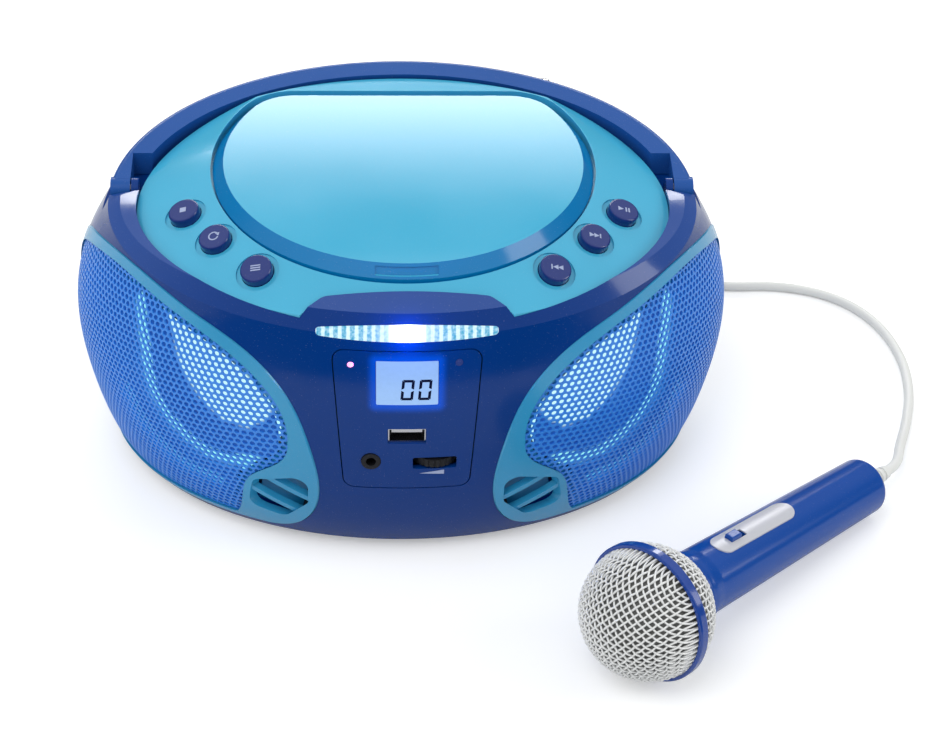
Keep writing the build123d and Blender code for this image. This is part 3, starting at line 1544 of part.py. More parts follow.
# ---------------------------------------------------------------- microphone cable
cable_start = mic_station(mic_tail + relief_length).origin
cable_points = [cable_start, cable_start + mic_along * cable_lead,
                Vector(195, -24, 5.2), Vector(202, -6, 2.7), Vector(208, 15, cable_radius),
                Vector(210, 39, cable_radius), Vector(204.5, 65, cable_radius),
                Vector(190, 84, cable_radius), Vector(167, 93, cable_radius),
                Vector(140, 91.5, cable_radius), Vector(113, 100, cable_radius),
                Vector(87, 114, cable_radius), Vector(62, 123.5, cable_radius),
                Vector(coil_x + 10, coil_y - coil_radius - 6.5, cable_radius)]
runs = [end - start for start, end in zip(cable_points, cable_points[1:])]
bends = []
for before, after in zip(runs, runs[1:]):
    turn = radians(before.get_angle(after))
    bends.append(0.45 * min(before.length, after.length) / tan(turn / 2))
print("cable bend radii", [round(bend, 1) for bend in bends])

with BuildPart() as mic_cable:
    with BuildLine() as route:
        FilletPolyline(*cable_points, radius=bends)
    with BuildSketch(Plane(origin=cable_start, z_dir=runs[0])):
        Circle(cable_radius)
    sweep()
print("cable length", round(route.wires()[0].length, 1), "volume over section",
      round(mic_cable.part.volume / (pi * cable_radius**2), 1))
finish(mic_cable, "mic_cable")

with BuildPart() as mic_coil:
    with BuildSketch(Plane.XY):
        with Locations((coil_x, coil_y)):
            Circle(coil_radius + coil_half_width)
            Circle(coil_radius - coil_half_width, mode=Mode.SUBTRACT)
    extrude(amount=coil_height)
    fillet(mic_coil.edges().filter_by(GeomType.CIRCLE), cable_radius)
finish(mic_coil, "mic_coil")

with BuildPart() as mic_plug:
    with Locations((coil_x + 8, coil_y + coil_radius + 8, plug_radius)):
        Cylinder(cable_radius, plug_lead, rotation=(0, 90, 0),
                 align=(Align.CENTER, Align.CENTER, Align.MIN))
    with Locations((coil_x + 8 + plug_lead, coil_y + coil_radius + 8, plug_radius)):
        Cylinder(plug_radius, plug_grip, rotation=(0, 90, 0),
                 align=(Align.CENTER, Align.CENTER, Align.MIN))
        Cylinder(plug_tip_radius, plug_grip + plug_tip, rotation=(0, 90, 0),
                 align=(Align.CENTER, Align.CENTER, Align.MIN))
    chamfer(mic_plug.edges().filter_by(GeomType.CIRCLE).sort_by(Axis.X)[-1], 1.0)
finish(mic_plug, "mic_plug")
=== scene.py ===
from math import cos, pi, radians, sin

import bpy
import numpy as np
from mathutils import Euler, Matrix, Vector


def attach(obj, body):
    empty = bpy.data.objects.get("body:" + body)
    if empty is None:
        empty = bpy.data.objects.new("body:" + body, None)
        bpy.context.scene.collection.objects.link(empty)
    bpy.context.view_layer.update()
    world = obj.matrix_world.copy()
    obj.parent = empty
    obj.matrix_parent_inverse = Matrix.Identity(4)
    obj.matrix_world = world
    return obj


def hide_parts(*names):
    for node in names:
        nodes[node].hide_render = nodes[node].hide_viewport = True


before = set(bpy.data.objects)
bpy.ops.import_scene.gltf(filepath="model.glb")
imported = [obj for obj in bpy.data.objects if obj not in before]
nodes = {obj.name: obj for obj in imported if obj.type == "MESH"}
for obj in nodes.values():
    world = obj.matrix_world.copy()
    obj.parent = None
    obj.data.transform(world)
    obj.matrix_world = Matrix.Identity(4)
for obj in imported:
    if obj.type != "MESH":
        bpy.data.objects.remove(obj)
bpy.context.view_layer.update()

scene = bpy.context.scene
scene.view_settings.view_transform = "Standard"
mm = 0.001


# ---- camera
cameraSet = {"place": (-0.0131164, -0.6551904, 0.5188611), "pan": 3.484, "tilt": 36.881,
             "roll": 1.818, "focalPixels": 2090.4, "frameWidth": 942, "sensor": 36.0}
lensData = bpy.data.cameras.new("camera")
lensData.sensor_width = cameraSet["sensor"]
lensData.lens = cameraSet["focalPixels"] * cameraSet["sensor"] / cameraSet["frameWidth"]
lensData.clip_start = 0.01
camera = bpy.data.objects.new("camera", lensData)
scene.collection.objects.link(camera)
turned = (Euler((radians(90 - cameraSet["tilt"]), 0, -radians(cameraSet["pan"]))).to_matrix()
          @ Matrix.Rotation(radians(cameraSet["roll"]), 3, "Z"))
camera.matrix_world = Matrix.Translation(cameraSet["place"]) @ turned.to_4x4()
scene.camera = camera
print("camera set")


# ---- shader helpers
def newTree(name, ins, outs):
    # an empty node group with named sockets: (name, kind, default)
    tree = bpy.data.node_groups.new(name, "ShaderNodeTree")
    for label, kind, default in ins:
        made = tree.interface.new_socket(label, in_out="INPUT", socket_type="NodeSocket" + kind)
        if default is not None:
            made.default_value = default
    for label, kind in outs:
        tree.interface.new_socket(label, in_out="OUTPUT", socket_type="NodeSocket" + kind)
    return tree, tree.nodes.new("NodeGroupInput"), tree.nodes.new("NodeGroupOutput")


def addNode(tree, kind, **settings):
    made = tree.nodes.new("ShaderNode" + kind)
    for key, value in settings.items():
        setattr(made, key, value)
    return made


def setSockets(node, values):
    for label, value in values.items():
        node.inputs[label].default_value = value


def mathNode(tree, operation, first, second=None, third=None):
    made = addNode(tree, "Math", operation=operation)
    for index, value in enumerate((first, second, third)):
        if value is None:
            continue
        if isinstance(value, (int, float)):
            made.inputs[index].default_value = value
        else:
            tree.links.new(value, made.inputs[index])
    return made.outputs[0]


def noiseNode(tree, vector, scale, detail):
    made = addNode(tree, "TexNoise")
    setSockets(made, {"Scale": scale, "Detail": detail})
    tree.links.new(vector, made.inputs["Vector"])
    return made.outputs["Fac"]


def mixColours(tree, factor, first, second):
    made = addNode(tree, "Mix", data_type="RGBA", blend_type="MIX")
    for label, value in ((0, factor), (6, first), (7, second)):
        if isinstance(value, tuple):
            made.inputs[label].default_value = value
        else:
            tree.links.new(value, made.inputs[label])
    return made.outputs[2]


def rangeNode(tree, value, start, end, ease="SMOOTHSTEP"):
    # a value carried from the span (start) to the span (end), held at both ends
    made = addNode(tree, "MapRange", interpolation_type=ease)
    setSockets(made, dict(zip(("From Min", "From Max", "To Min", "To Max"), (*start, *end))))
    tree.links.new(value, made.inputs["Value"])
    return made.outputs[0]


def objectPlace(tree):
    return addNode(tree, "TexCoord").outputs["Object"]


def splitAxes(tree, vector):
    made = addNode(tree, "SeparateXYZ")
    tree.links.new(vector, made.inputs[0])
    return made.outputs


skinSet = {"flow": 24, "grain": 900, "dust": 2600, "dustAbove": 0.735, "dustShare": 0.10,
           "dustColour": (0.75, 0.8, 0.85, 1), "roughSwing": 0.10, "peelHeight": 0.00004}


def buildMouldedSkin():
    # moulded plastic: faint flow marks in the colour, fine orange peel, a little dust
    tree, ins, outs = newTree("mouldedSkin", [
        ("Colour", "Color", (0.1, 0.1, 0.5, 1)), ("Depth", "Float", 0.12),
        ("Peel", "Float", 0.1), ("Rough", "Float", 0.2)],
        [("Colour", "Color"), ("Rough", "Float"), ("Normal", "Vector")])
    place = objectPlace(tree)
    flow = noiseNode(tree, place, skinSet["flow"], 2)
    grain = noiseNode(tree, place, skinSet["grain"], 2)
    dust = noiseNode(tree, place, skinSet["dust"], 1)
    shade = mathNode(tree, "MULTIPLY_ADD", mathNode(tree, "SUBTRACT", flow, 0.5),
                     ins.outputs["Depth"], 1.0)
    bright = addNode(tree, "VectorMath", operation="SCALE")
    tree.links.new(ins.outputs["Colour"], bright.inputs[0])
    tree.links.new(shade, bright.inputs["Scale"])
    speck = mathNode(tree, "MULTIPLY",
                     mathNode(tree, "GREATER_THAN", dust, skinSet["dustAbove"]),
                     skinSet["dustShare"])
    tree.links.new(mixColours(tree, speck, bright.outputs[0], skinSet["dustColour"]),
                   outs.inputs["Colour"])
    middle = mathNode(tree, "SUBTRACT", ins.outputs["Rough"], skinSet["roughSwing"] / 2)
    tree.links.new(mathNode(tree, "MULTIPLY_ADD", flow, skinSet["roughSwing"], middle),
                   outs.inputs["Rough"])
    bump = addNode(tree, "Bump")
    bump.inputs["Distance"].default_value = skinSet["peelHeight"]
    tree.links.new(ins.outputs["Peel"], bump.inputs["Strength"])
    tree.links.new(grain, bump.inputs["Height"])
    tree.links.new(bump.outputs[0], outs.inputs["Normal"])
    return tree


mouldedSkin = buildMouldedSkin()


def newMaterial(name):
    made = bpy.data.materials.new(name)
    made.use_nodes = True
    return made, made.node_tree, made.node_tree.nodes["Principled BSDF"]


def layStrength(tree, shader, colour, strength):
    # a glow whose strength changes over the surface
    shader.inputs["Emission Color"].default_value = colour
    tree.links.new(strength, shader.inputs["Emission Strength"])


def laySkin(tree, shader, look):
    # the moulded skin wired into a shader
    skin = addNode(tree, "Group", node_tree=mouldedSkin)
    setSockets(skin, look)
    for output, socket in (("Colour", "Base Color"), ("Rough", "Roughness"),
                           ("Normal", "Normal")):
        tree.links.new(skin.outputs[output], shader.inputs[socket])
    return skin


def plastic(name, colour, rough=0.2, peel=0.1, depth=0.12, coat=0.0, metal=0.0,
            specular=0.5):
    made, tree, shader = newMaterial(name)
    laySkin(tree, shader, {"Colour": (*colour, 1), "Depth": depth, "Peel": peel,
                           "Rough": rough})
    setSockets(shader, {"Coat Weight": coat, "Coat Roughness": coatRough, "Metallic": metal,
                        "Specular IOR Level": specular})
    return made


coatRough = 0.04
navyColour = (0.0, 0.036, 0.21)
navySpecular = 0.26
cyanColour = (0.055, 0.43, 0.66)
finish = {
    "navy": plastic("navyGloss", navyColour, 0.12, 0.05, 0.10, 0.0, specular=navySpecular),
    "deckCyan": plastic("deckCyan", cyanColour, 0.16, 0.06, 0.08, 0.3),
    "handleBlue": plastic("handleBlue", (0.012, 0.082, 0.33), 0.24, 0.12, 0.10, 0.0,
                          specular=0.3),
    "trimCyan": plastic("trimCyan", (0.03, 0.30, 0.55), 0.2, 0.08, 0.1, 0.2),
    "grilleBlue": plastic("grilleBlue", (0.035, 0.235, 0.76), 0.28, 0.1, 0.1, 0.0),
    "buttonNavy": plastic("buttonNavy", (0.004, 0.022, 0.17), 0.2, 0.08, 0.15, 0.4),
    "micBlue": plastic("micBlue", (0.0, 0.060, 0.33), 0.2, 0.1, 0.10, 0.1, specular=0.35),
    "bandBlue": plastic("bandBlue", (0.006, 0.05, 0.30), 0.16, 0.08, 0.1, 0.4),
    "plateSilver": plastic("plateSilver", (0.62, 0.62, 0.66), 0.34, 0.3, 0.05, 0.0, 0.25),
    "black": plastic("blackMould", (0.010, 0.010, 0.012), 0.42, 0.4, 0.3, specular=0.25),
    "white": plastic("whiteMould", (0.78, 0.78, 0.75), 0.35, 0.2, 0.05),
    "cableWhite": plastic("cableWhite", (0.80, 0.80, 0.77), 0.38, 0.25, 0.05),
    "rubber": plastic("rubberFoot", (0.02, 0.02, 0.021), 0.65, 0.9, 0.3),
    "foam": plastic("foamDark", (0.17, 0.17, 0.165), 0.9, 1.0, 0.8),
    "wire": plastic("wireSilver", (0.88, 0.88, 0.87), 0.32, 0.1, 0.05, 0.0, 0.1),
    "board": plastic("boardGreen", (0.01, 0.12, 0.045), 0.35, 0.3, 0.5),
    "steel": plastic("steelPlain", (0.6, 0.6, 0.62), 0.24, 0.2, 0.1, 0.0, 1.0),
    "chrome": plastic("chromeBright", (0.82, 0.82, 0.84), 0.10, 0.04, 0.04, 0.0, 1.0),
    "ink": plastic("inkPale", (0.36, 0.42, 0.62), 0.4, 0.1, 0.1),
}


def paintedFacingShade(name, level, shadedUpright, rough, coat, band, specular=0.5):
    # painted shade: one colour on faces that look up and a deeper one painted on the sloping and
    # upright faces, as shade where less light falls
    made, tree, shader = newMaterial(name)
    skin = laySkin(tree, shader, {"Depth": 0.06, "Peel": 0.05, "Rough": rough})
    facing = splitAxes(tree, addNode(tree, "TexCoord").outputs["Normal"])
    share = rangeNode(tree, facing["Z"], band, (0.0, 1.0))
    tree.links.new(mixColours(tree, share, (*shadedUpright, 1), (*level, 1)), skin.inputs["Colour"])
    tree.links.new(mathNode(tree, "MULTIPLY", share, coat), shader.inputs["Coat Weight"])
    setSockets(shader, {"Coat Roughness": coatRough, "Specular IOR Level": specular})
    return made


# the lid's bevel and the rim's front and sides are painted a deeper blue as shade; their faces
# that look up keep the lighter colour
finish["lidCyanPaintedShade"] = paintedFacingShade("lidCyanPaintedShade", cyanColour, (0.0, 0.185, 0.46), 0.12, 0.6,
                            (0.72, 0.97))
finish["rimBluePaintedShade"] = paintedFacingShade("rimBluePaintedShade", (0.014, 0.065, 0.29), (0.0, 0.030, 0.19), 0.16, 0.35,
                            (0.35, 0.85), 0.4)
facetSet = {"cells": 420, "swing": -0.7, "level": 1.05, "rough": 0.1}


def glowing(name, colour, light, strength):
    # lit clear moulding: its own colour and an even glow broken by facets
    made, tree, shader = newMaterial(name)
    facet = addNode(tree, "TexVoronoi", feature="F1")
    facet.inputs["Scale"].default_value = facetSet["cells"]
    tree.links.new(objectPlace(tree), facet.inputs["Vector"])
    ramp = mathNode(tree, "MULTIPLY_ADD", facet.outputs["Distance"], facetSet["swing"],
                    facetSet["level"])
    setSockets(shader, {"Base Color": (*colour, 1), "Roughness": facetSet["rough"]})
    layStrength(tree, shader, (*light, 1), mathNode(tree, "MULTIPLY", ramp, strength))
    return made


def dress(name, material):
    # a kept CAD node takes one finish on all its faces
    mesh = nodes[name].data
    mesh.materials.clear()
    mesh.materials.append(material)


plainNodes = {
    "navy": ["lower_shell", "upper_shell", "battery_door"],
    "rimBluePaintedShade": ["deck_rim"], "deckCyan": ["top_deck"], "lidCyanPaintedShade": ["cd_lid"],
    "handleBlue": ["carry_handle"], "trimCyan": ["trim_left", "trim_right"],
    "buttonNavy": ["stop_button", "play_button", "play_mode_button", "next_button",
                   "album_button", "previous_button"],
    "micBlue": ["mic_body", "mic_switch"], "bandBlue": ["mic_band"],
    "plateSilver": ["mic_plate"], "cableWhite": ["mic_strain_relief", "mic_plug"],
    "black": ["disc_well", "speaker_frame_left", "speaker_frame_right", "speaker_baffles",
              "lcd_module", "mic_jack", "mic_volume_wheel", "mechanism_chassis", "turntable",
              "laser_sled", "battery_box", "ac_inlet", "volume_knob", "function_switch"],
    "white": ["drive_gear"],
    "rubber": ["feet"], "board": ["control_board", "button_boards", "main_board"],
    "steel": ["handle_pins", "usb_socket", "guide_rods", "spindle_motor", "transformer"],
    "chrome": ["aerial_knuckle", "aerial_tube", "aerial_rod"],
}
for key, names in plainNodes.items():
    for name in names:
        dress(name, finish[key])
print("frame dressed")


# ---- mesh helpers
def makeMesh(name, points, faces, material, body, smooth=True):
    # points (n, 3) in metres, faces (m, k) of one size or a list of such arrays
    mesh = bpy.data.meshes.new(name)
    groups = faces if isinstance(faces, list) else [faces]
    flat = np.concatenate([group.ravel() for group in groups]).astype(np.int32)
    sizes = np.concatenate([np.full(len(group), group.shape[1]) for group in groups])
    starts = np.concatenate(([0], np.cumsum(sizes)[:-1])).astype(np.int32)
    mesh.vertices.add(len(points))
    mesh.vertices.foreach_set("co", np.asarray(points, np.float32).ravel())
    mesh.loops.add(len(flat))
    mesh.loops.foreach_set("vertex_index", flat)
    mesh.polygons.add(len(sizes))
    mesh.polygons.foreach_set("loop_start", starts)
    mesh.polygons.foreach_set("use_smooth", np.full(len(sizes), smooth))
    mesh.update(calc_edges=True)
    mesh.validate()
    mesh.materials.append(material)
    piece = bpy.data.objects.new(name, mesh)
    scene.collection.objects.link(piece)
    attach(piece, body)
    return piece


def sweepTubes(paths, radius, sides):
    # round tubes along paths (count, steps, 3): rings square to each path, joined by quads
    count, steps = paths.shape[:2]
    along = np.gradient(paths, axis=1)
    along /= np.linalg.norm(along, axis=2, keepdims=True) + 1e-12
    helper = paths / (np.linalg.norm(paths, axis=2, keepdims=True) + 1e-12)
    across = np.cross(along, helper)
    across /= np.linalg.norm(across, axis=2, keepdims=True) + 1e-12
    lift = np.cross(across, along)
    turn = np.arange(sides) * 2 * pi / sides
    rings = (paths[:, :, None] + radius * (np.cos(turn)[None, None, :, None] * across[:, :, None]
             + np.sin(turn)[None, None, :, None] * lift[:, :, None]))
    index = np.arange(count * steps * sides).reshape(count, steps, sides)
    after = np.roll(index, -1, axis=2)
    quads = np.stack([index[:, :-1], after[:, :-1], after[:, 1:], index[:, 1:]], axis=-1)
    return rings.reshape(-1, 3), quads.reshape(-1, 4)


# ---- perforated grilles
sideTurn = radians(40)
sideAlong = np.array([sin(sideTurn), -cos(sideTurn), 0.0])
sideUp = np.array([0.0, 0.0, 1.0])
sideOut = np.array([-cos(sideTurn), -sin(sideTurn), 0.0])
grilleSet = {"pitch": 2.45, "hole": 0.90, "sheet": 0.7, "turn": 4.0, "inset": 0.12,
             "degree": 7, "heart": (-26.0, 50.0), "corners": 12, "facing": 0.15,
             "edgeOn": 0.05, "span": (80, 50), "middle": 50, "rowStep": 0.8660254,
             "overhang": 0.45, "burr": 0.03}
sqrtThree = 3 ** 0.5


def sidePlace(local):
    # side-plane coordinates (along, up, out) in mm as metres of the part
    return (local[..., 0:1] * sideAlong + local[..., 1:2] * sideUp
            + local[..., 2:3] * sideOut) * mm


def outerSkin(name):
    # side-plane coordinates in mm of a node's outward faces and of its edge walls
    mesh = nodes[name].data
    points = np.zeros(len(mesh.vertices) * 3)
    mesh.vertices.foreach_get("co", points)
    points = points.reshape(-1, 3) / mm
    local = np.stack([points @ sideAlong, points @ sideUp, points @ sideOut], axis=1)
    normals = np.zeros(len(mesh.polygons) * 3)
    mesh.polygons.foreach_get("normal", normals)
    facing = normals.reshape(-1, 3) @ sideOut
    starts = np.zeros(len(mesh.polygons), np.int32)
    mesh.polygons.foreach_get("loop_start", starts)
    corners = np.zeros(len(mesh.loops), np.int32)
    mesh.loops.foreach_get("vertex_index", corners)
    triangles = corners[starts[:, None] + np.arange(3)]
    top = local[np.unique(triangles[facing > grilleSet["facing"]])]
    wall = local[np.unique(triangles[np.abs(facing) < grilleSet["edgeOn"]])]
    return top, wall


def powers(u, w, degree):
    # every product u^i w^j up to the degree, of coordinates scaled to about one
    wide, tall = grilleSet["span"]
    return np.stack([(u / wide) ** i * ((w - grilleSet["middle"]) / tall) ** j
                     for i in range(degree + 1) for j in range(degree + 1 - i)], axis=-1)


skinPoints, wallPoints = outerSkin("grille_left")
skinTerms = powers(skinPoints[:, 0], skinPoints[:, 1], grilleSet["degree"])
skinFit = np.linalg.lstsq(skinTerms, skinPoints[:, 2], rcond=None)[0]
miss = skinTerms @ skinFit - skinPoints[:, 2]
print("grille skin fitted,", len(skinPoints), "points, worst miss mm",
      round(float(np.abs(miss).max()), 3))
heart = np.array(grilleSet["heart"])
rimSpokes = wallPoints[:, :2] - heart
rimAngle = np.arctan2(rimSpokes[:, 1], rimSpokes[:, 0])
rimOrder = np.argsort(rimAngle)
rimAngle = rimAngle[rimOrder]
rimReach = np.linalg.norm(rimSpokes, axis=1)[rimOrder]


def edgeReach(angle):
    return np.interp(angle, rimAngle, rimReach, period=2 * pi)


def heldInside(flat):
    # points outside the edge of the grille are drawn back onto it
    spokes = flat - heart
    reach = np.linalg.norm(spokes, axis=-1) + 1e-9
    limit = edgeReach(np.arctan2(spokes[..., 1], spokes[..., 0])) - grilleSet["inset"]
    return heart + spokes * np.minimum(1, limit / reach)[..., None]


def skinPlace(flat, lower):
    # point on the curved sheet, lower mm below its outer face, in row coordinates
    u, w = flat[..., 0], flat[..., 1]
    step = 0.5
    depth = powers(u, w, grilleSet["degree"]) @ skinFit
    slopeU = (powers(u + step, w, grilleSet["degree"]) @ skinFit - depth) / step
    slopeW = (powers(u, w + step, grilleSet["degree"]) @ skinFit - depth) / step
    square = np.stack([-slopeU, -slopeW, np.ones_like(depth)], axis=-1)
    square /= np.linalg.norm(square, axis=-1, keepdims=True)
    local = np.stack([u, w, depth], axis=-1) - square * lower
    return sidePlace(local)


def makeGrille():
    # a hexagon of sheet round each hole, then the wall of the hole through the sheet
    pitch = grilleSet["pitch"]
    rows, columns = np.meshgrid(np.arange(-50, 51), np.arange(-60, 61), indexing="ij")
    flat = np.stack([columns * pitch + (rows % 2) * pitch / 2,
                     rows * pitch * grilleSet["rowStep"]], -1)
    flat = flat.reshape(-1, 2)
    spin = radians(grilleSet["turn"])
    flat = flat @ np.array([[cos(spin), sin(spin)], [-sin(spin), cos(spin)]]) + heart
    spokes = flat - heart
    keep = (np.linalg.norm(spokes, axis=1)
            < edgeReach(np.arctan2(spokes[:, 1], spokes[:, 0])) + pitch * grilleSet["overhang"])
    middles = flat[keep]
    corners = grilleSet["corners"]
    turn = np.arange(corners) * 2 * pi / corners + spin
    reach = np.where(np.arange(corners) % 2 == 0, pitch / 2, pitch / sqrtThree)
    ring = np.stack([np.cos(turn), np.sin(turn)], -1)
    outer = heldInside(middles[:, None] + ring * reach[:, None])
    hole = heldInside(middles[:, None] + ring * grilleSet["hole"])
    layers = np.stack([skinPlace(outer, 0.0), skinPlace(hole, grilleSet["burr"]),
                       skinPlace(hole, grilleSet["sheet"])], axis=1)
    index = np.arange(len(middles) * 3 * corners).reshape(len(middles), 3, corners)
    after = np.roll(index, -1, axis=2)
    quads = np.stack([index[:, :-1], after[:, :-1], after[:, 1:], index[:, 1:]], axis=-1)
    return layers.reshape(-1, 3), quads.reshape(-1, 4)


grillePoints, grilleQuads = makeGrille()
for side, flip in (("left", 1), ("right", -1)):
    facesHere = grilleQuads if flip == 1 else grilleQuads[:, ::-1]
    piece = makeMesh(f"grille_mesh_{side}", grillePoints * np.array([flip, 1, 1]), facesHere,
                     finish["grilleBlue"], "housing", smooth=False)
    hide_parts(f"grille_{side}")
print("grilles woven,", len(grilleQuads), "faces each")


# ---- painted glow on the cones and in the hollows, lit rings and lamps behind the grilles and panel
# painted glow on the cones: where the bright sector lies and fades, its noise mottle, strength
# and colour
coneSet = {"middle": (-0.009, 0.056), "slope": 0.75, "edge": (-0.006, 0.0035), "grain": 160,
           "strength": 1.05, "light": (0.50, 0.95, 1.0, 1)}


def paintedConeGlow():
    # painted glow: the ring's light painted on the cone as emission in one bright sector,
    # mottled by noise, and dark elsewhere
    made, tree, shader = newMaterial("conePaintedGlow")
    place = objectPlace(tree)
    axes = splitAxes(tree, place)
    width = mathNode(tree, "ABSOLUTE", axes["X"])
    along = mathNode(tree, "ADD", mathNode(tree, "MULTIPLY", width, -sin(sideTurn)),
                     mathNode(tree, "MULTIPLY", axes["Y"], -cos(sideTurn)))
    drift = mathNode(tree, "SUBTRACT", along, coneSet["middle"][0])
    rise = mathNode(tree, "SUBTRACT", axes["Z"], coneSet["middle"][1])
    lean = mathNode(tree, "MULTIPLY_ADD", drift, coneSet["slope"], rise)
    grain = mathNode(tree, "MULTIPLY_ADD", noiseNode(tree, place, coneSet["grain"], 2), 0.25,
                     0.85)
    lit = mathNode(tree, "MULTIPLY", rangeNode(tree, lean, coneSet["edge"], (0.0, 1.0)), grain)
    setSockets(shader, {"Base Color": (0.05, 0.09, 0.2, 1), "Roughness": 0.4})
    layStrength(tree, shader, coneSet["light"],
                mathNode(tree, "MULTIPLY", lit, coneSet["strength"]))
    return made


def legReach(flat, line):
    # distance from each point to the nearest leg of a chain of straight legs
    legs = line[1:] - line[:-1]
    offset = flat[:, None] - line[:-1]
    share = np.clip((offset * legs).sum(-1) / (legs ** 2).sum(-1), 0, 1)
    return np.linalg.norm(offset - share[..., None] * legs, axis=-1).min(-1)


def insideLoop(flat, loop):
    # odd number of crossings to the right of the point
    after = np.roll(loop, -1, axis=0)
    u, w = flat[:, None, 0], flat[:, None, 1]
    spans = (loop[:, 1] > w) != (after[:, 1] > w)
    cross = loop[:, 0] + (after[:, 0] - loop[:, 0]) * (w - loop[:, 1]) / (
        after[:, 1] - loop[:, 1] + 1e-9)
    return (spans & (u < cross)).sum(-1) % 2 == 1


def eased(reach, near, far):
    # one up to near, none past far, on a smooth cubic between them
    share = np.clip((reach - far) / (near - far), 0, 1)
    return share * share * (3 - 2 * share)


# painted glow behind the grilles: a painted bright patch, a painted ring and a painted outer
# band on a glowing sheet; outlines in side-plane millimetres; ramps from full to none, in mm
# from the outline
glowSet = {
    "patchRamp": (-0.4, 0.9), "ringRamp": (1.8, 3.2), "outerRamp": (1.0, 4.0),
    "patchLight": (0.62, 1.0, 1.0, 1), "ringLight": (0.32, 0.92, 0.98, 1),
    "outerLight": (0.12, 0.58, 0.88, 1), "dim": (0.003, 0.025, 0.21, 1),
    "bright": (0.015, 0.11, 0.46, 1), "cloud": 45, "strength": 0.95,
    "inset": 3.6, "lower": 1.7, "spokes": 240, "steps": 100,
    "patch": np.array([(-19.5, 94.5), (-12.5, 83), (-7, 72), (1.5, 61.5), (10, 55.3),
                       (18.6, 54.6), (25, 60.5), (26.5, 68.7), (25.5, 77.2), (14.6, 86),
                       (0, 93)]),
    "ring": np.array([(-30, 89), (-27.4, 82), (-24, 74), (-21.5, 64.6), (-18.7, 55.7),
                      (-12.7, 47.9), (-5.4, 41.8), (3.1, 37.4), (11.6, 37.2), (19.9, 39.9)]),
    "outer": np.array([(-33, 50), (-28, 40), (-19, 31.5), (-8, 26), (5, 24.5)]),
}


def makeGlow():
    # polar net about the heart of the grille, with how strongly each painted glow shows at each
    # point
    turn = np.arange(glowSet["spokes"]) * 2 * pi / glowSet["spokes"]
    share = np.linspace(0, 1, glowSet["steps"])[1:]
    reach = (edgeReach(turn) - glowSet["inset"])[:, None] * share
    ring = np.stack([np.cos(turn), np.sin(turn)], -1)
    flat = (heart + ring[:, None] * reach[..., None]).reshape(-1, 2)
    count = glowSet["steps"] - 1
    index = np.arange(len(flat)).reshape(glowSet["spokes"], count)
    after = np.roll(index, -1, axis=0)
    quads = np.stack([index[:, :-1], index[:, 1:], after[:, 1:], after[:, :-1]], -1)
    apart = legReach(flat, np.vstack([glowSet["patch"], glowSet["patch"][:1]]))
    apart = np.where(insideLoop(flat, glowSet["patch"]), -apart, apart)
    strengths = np.stack([
        eased(apart, *glowSet["patchRamp"]),
        eased(legReach(flat, glowSet["ring"]), *glowSet["ringRamp"]),
        eased(legReach(flat, glowSet["outer"]), *glowSet["outerRamp"])], -1)
    return skinPlace(flat, glowSet["lower"]), quads.reshape(-1, 4), strengths


def paintedGlowSheet():
    # painted glow: a blue glowing sheet in the hollow, with the painted patch, ring and outer
    # band laid over it
    made, tree, shader = newMaterial("hollowPaintedGlow")
    share = splitAxes(tree, addNode(tree, "Attribute",
                                    attribute_name="glows").outputs["Vector"])
    cloud = noiseNode(tree, objectPlace(tree), glowSet["cloud"], 3)
    tint = mixColours(tree, cloud, glowSet["dim"], glowSet["bright"])
    for axis, light in (("Z", "outerLight"), ("Y", "ringLight"), ("X", "patchLight")):
        tint = mixColours(tree, share[axis], tint, glowSet[light])
    tree.links.new(tint, shader.inputs["Emission Color"])
    setSockets(shader, {"Emission Strength": glowSet["strength"], "Roughness": 0.6,
                        "Base Color": (0.01, 0.04, 0.12, 1)})
    return made


glowPoints, glowQuads, glowStrengths = makeGlow()
hollowPaintedGlow = paintedGlowSheet()
for side, flip in (("left", 1), ("right", -1)):
    facesHere = glowQuads if flip == 1 else glowQuads[:, ::-1]
    piece = makeMesh(f"grille_glow_{side}", glowPoints * np.array([flip, 1, 1]), facesHere,
                     hollowPaintedGlow, "housing")
    # how strongly the painted patch, ring and outer band show at each point of the sheet
    layer = piece.data.attributes.new("glows", "FLOAT_VECTOR", "POINT")
    layer.data.foreach_set("vector", glowStrengths.ravel())
print("grille glow laid")


# ---- backs of the reflex ports, seen between the fins
portSet = {"outline": np.array([(16.6, 18.6), (20.4, 32.6), (38.4, 38.6), (37.2, 25.4),
                                (28, 15.2)]), "near": 5.0, "lower": 6.0, "grow": 1.12}


def makePortBack():
    # the port's outline on a plane behind the trim's face round it
    top = outerSkin("trim_left")[0]
    middle = portSet["outline"].mean(axis=0)
    loop = np.vstack([portSet["outline"], portSet["outline"][:1]])
    near = top[legReach(top[:, :2], loop) < portSet["near"]]
    plane = np.linalg.lstsq(np.c_[near[:, :2], np.ones(len(near))], near[:, 2], rcond=None)[0]
    flat = middle + (portSet["outline"] - middle) * portSet["grow"]
    depth = np.c_[flat, np.ones(len(flat))] @ plane - portSet["lower"]
    points = sidePlace(np.c_[flat, depth])
    spokes = np.arange(len(flat))
    middlePoint = points.mean(axis=0, keepdims=True)
    after = np.roll(spokes, -1)
    return np.vstack([points, middlePoint]), np.stack(
        [spokes, after, np.full(len(flat), len(flat))], -1)


portPoints, portFaces = makePortBack()
finish["portBack"] = plastic("portBack", (0.0, 0.17, 0.36), 0.35, 0.1, 0.1)
for side, flip in (("left", 1), ("right", -1)):
    makeMesh(f"port_back_{side}", portPoints * np.array([flip, 1, 1]),
             portFaces[:, ::flip], finish["portBack"], "housing", smooth=False)
print("port backs set")


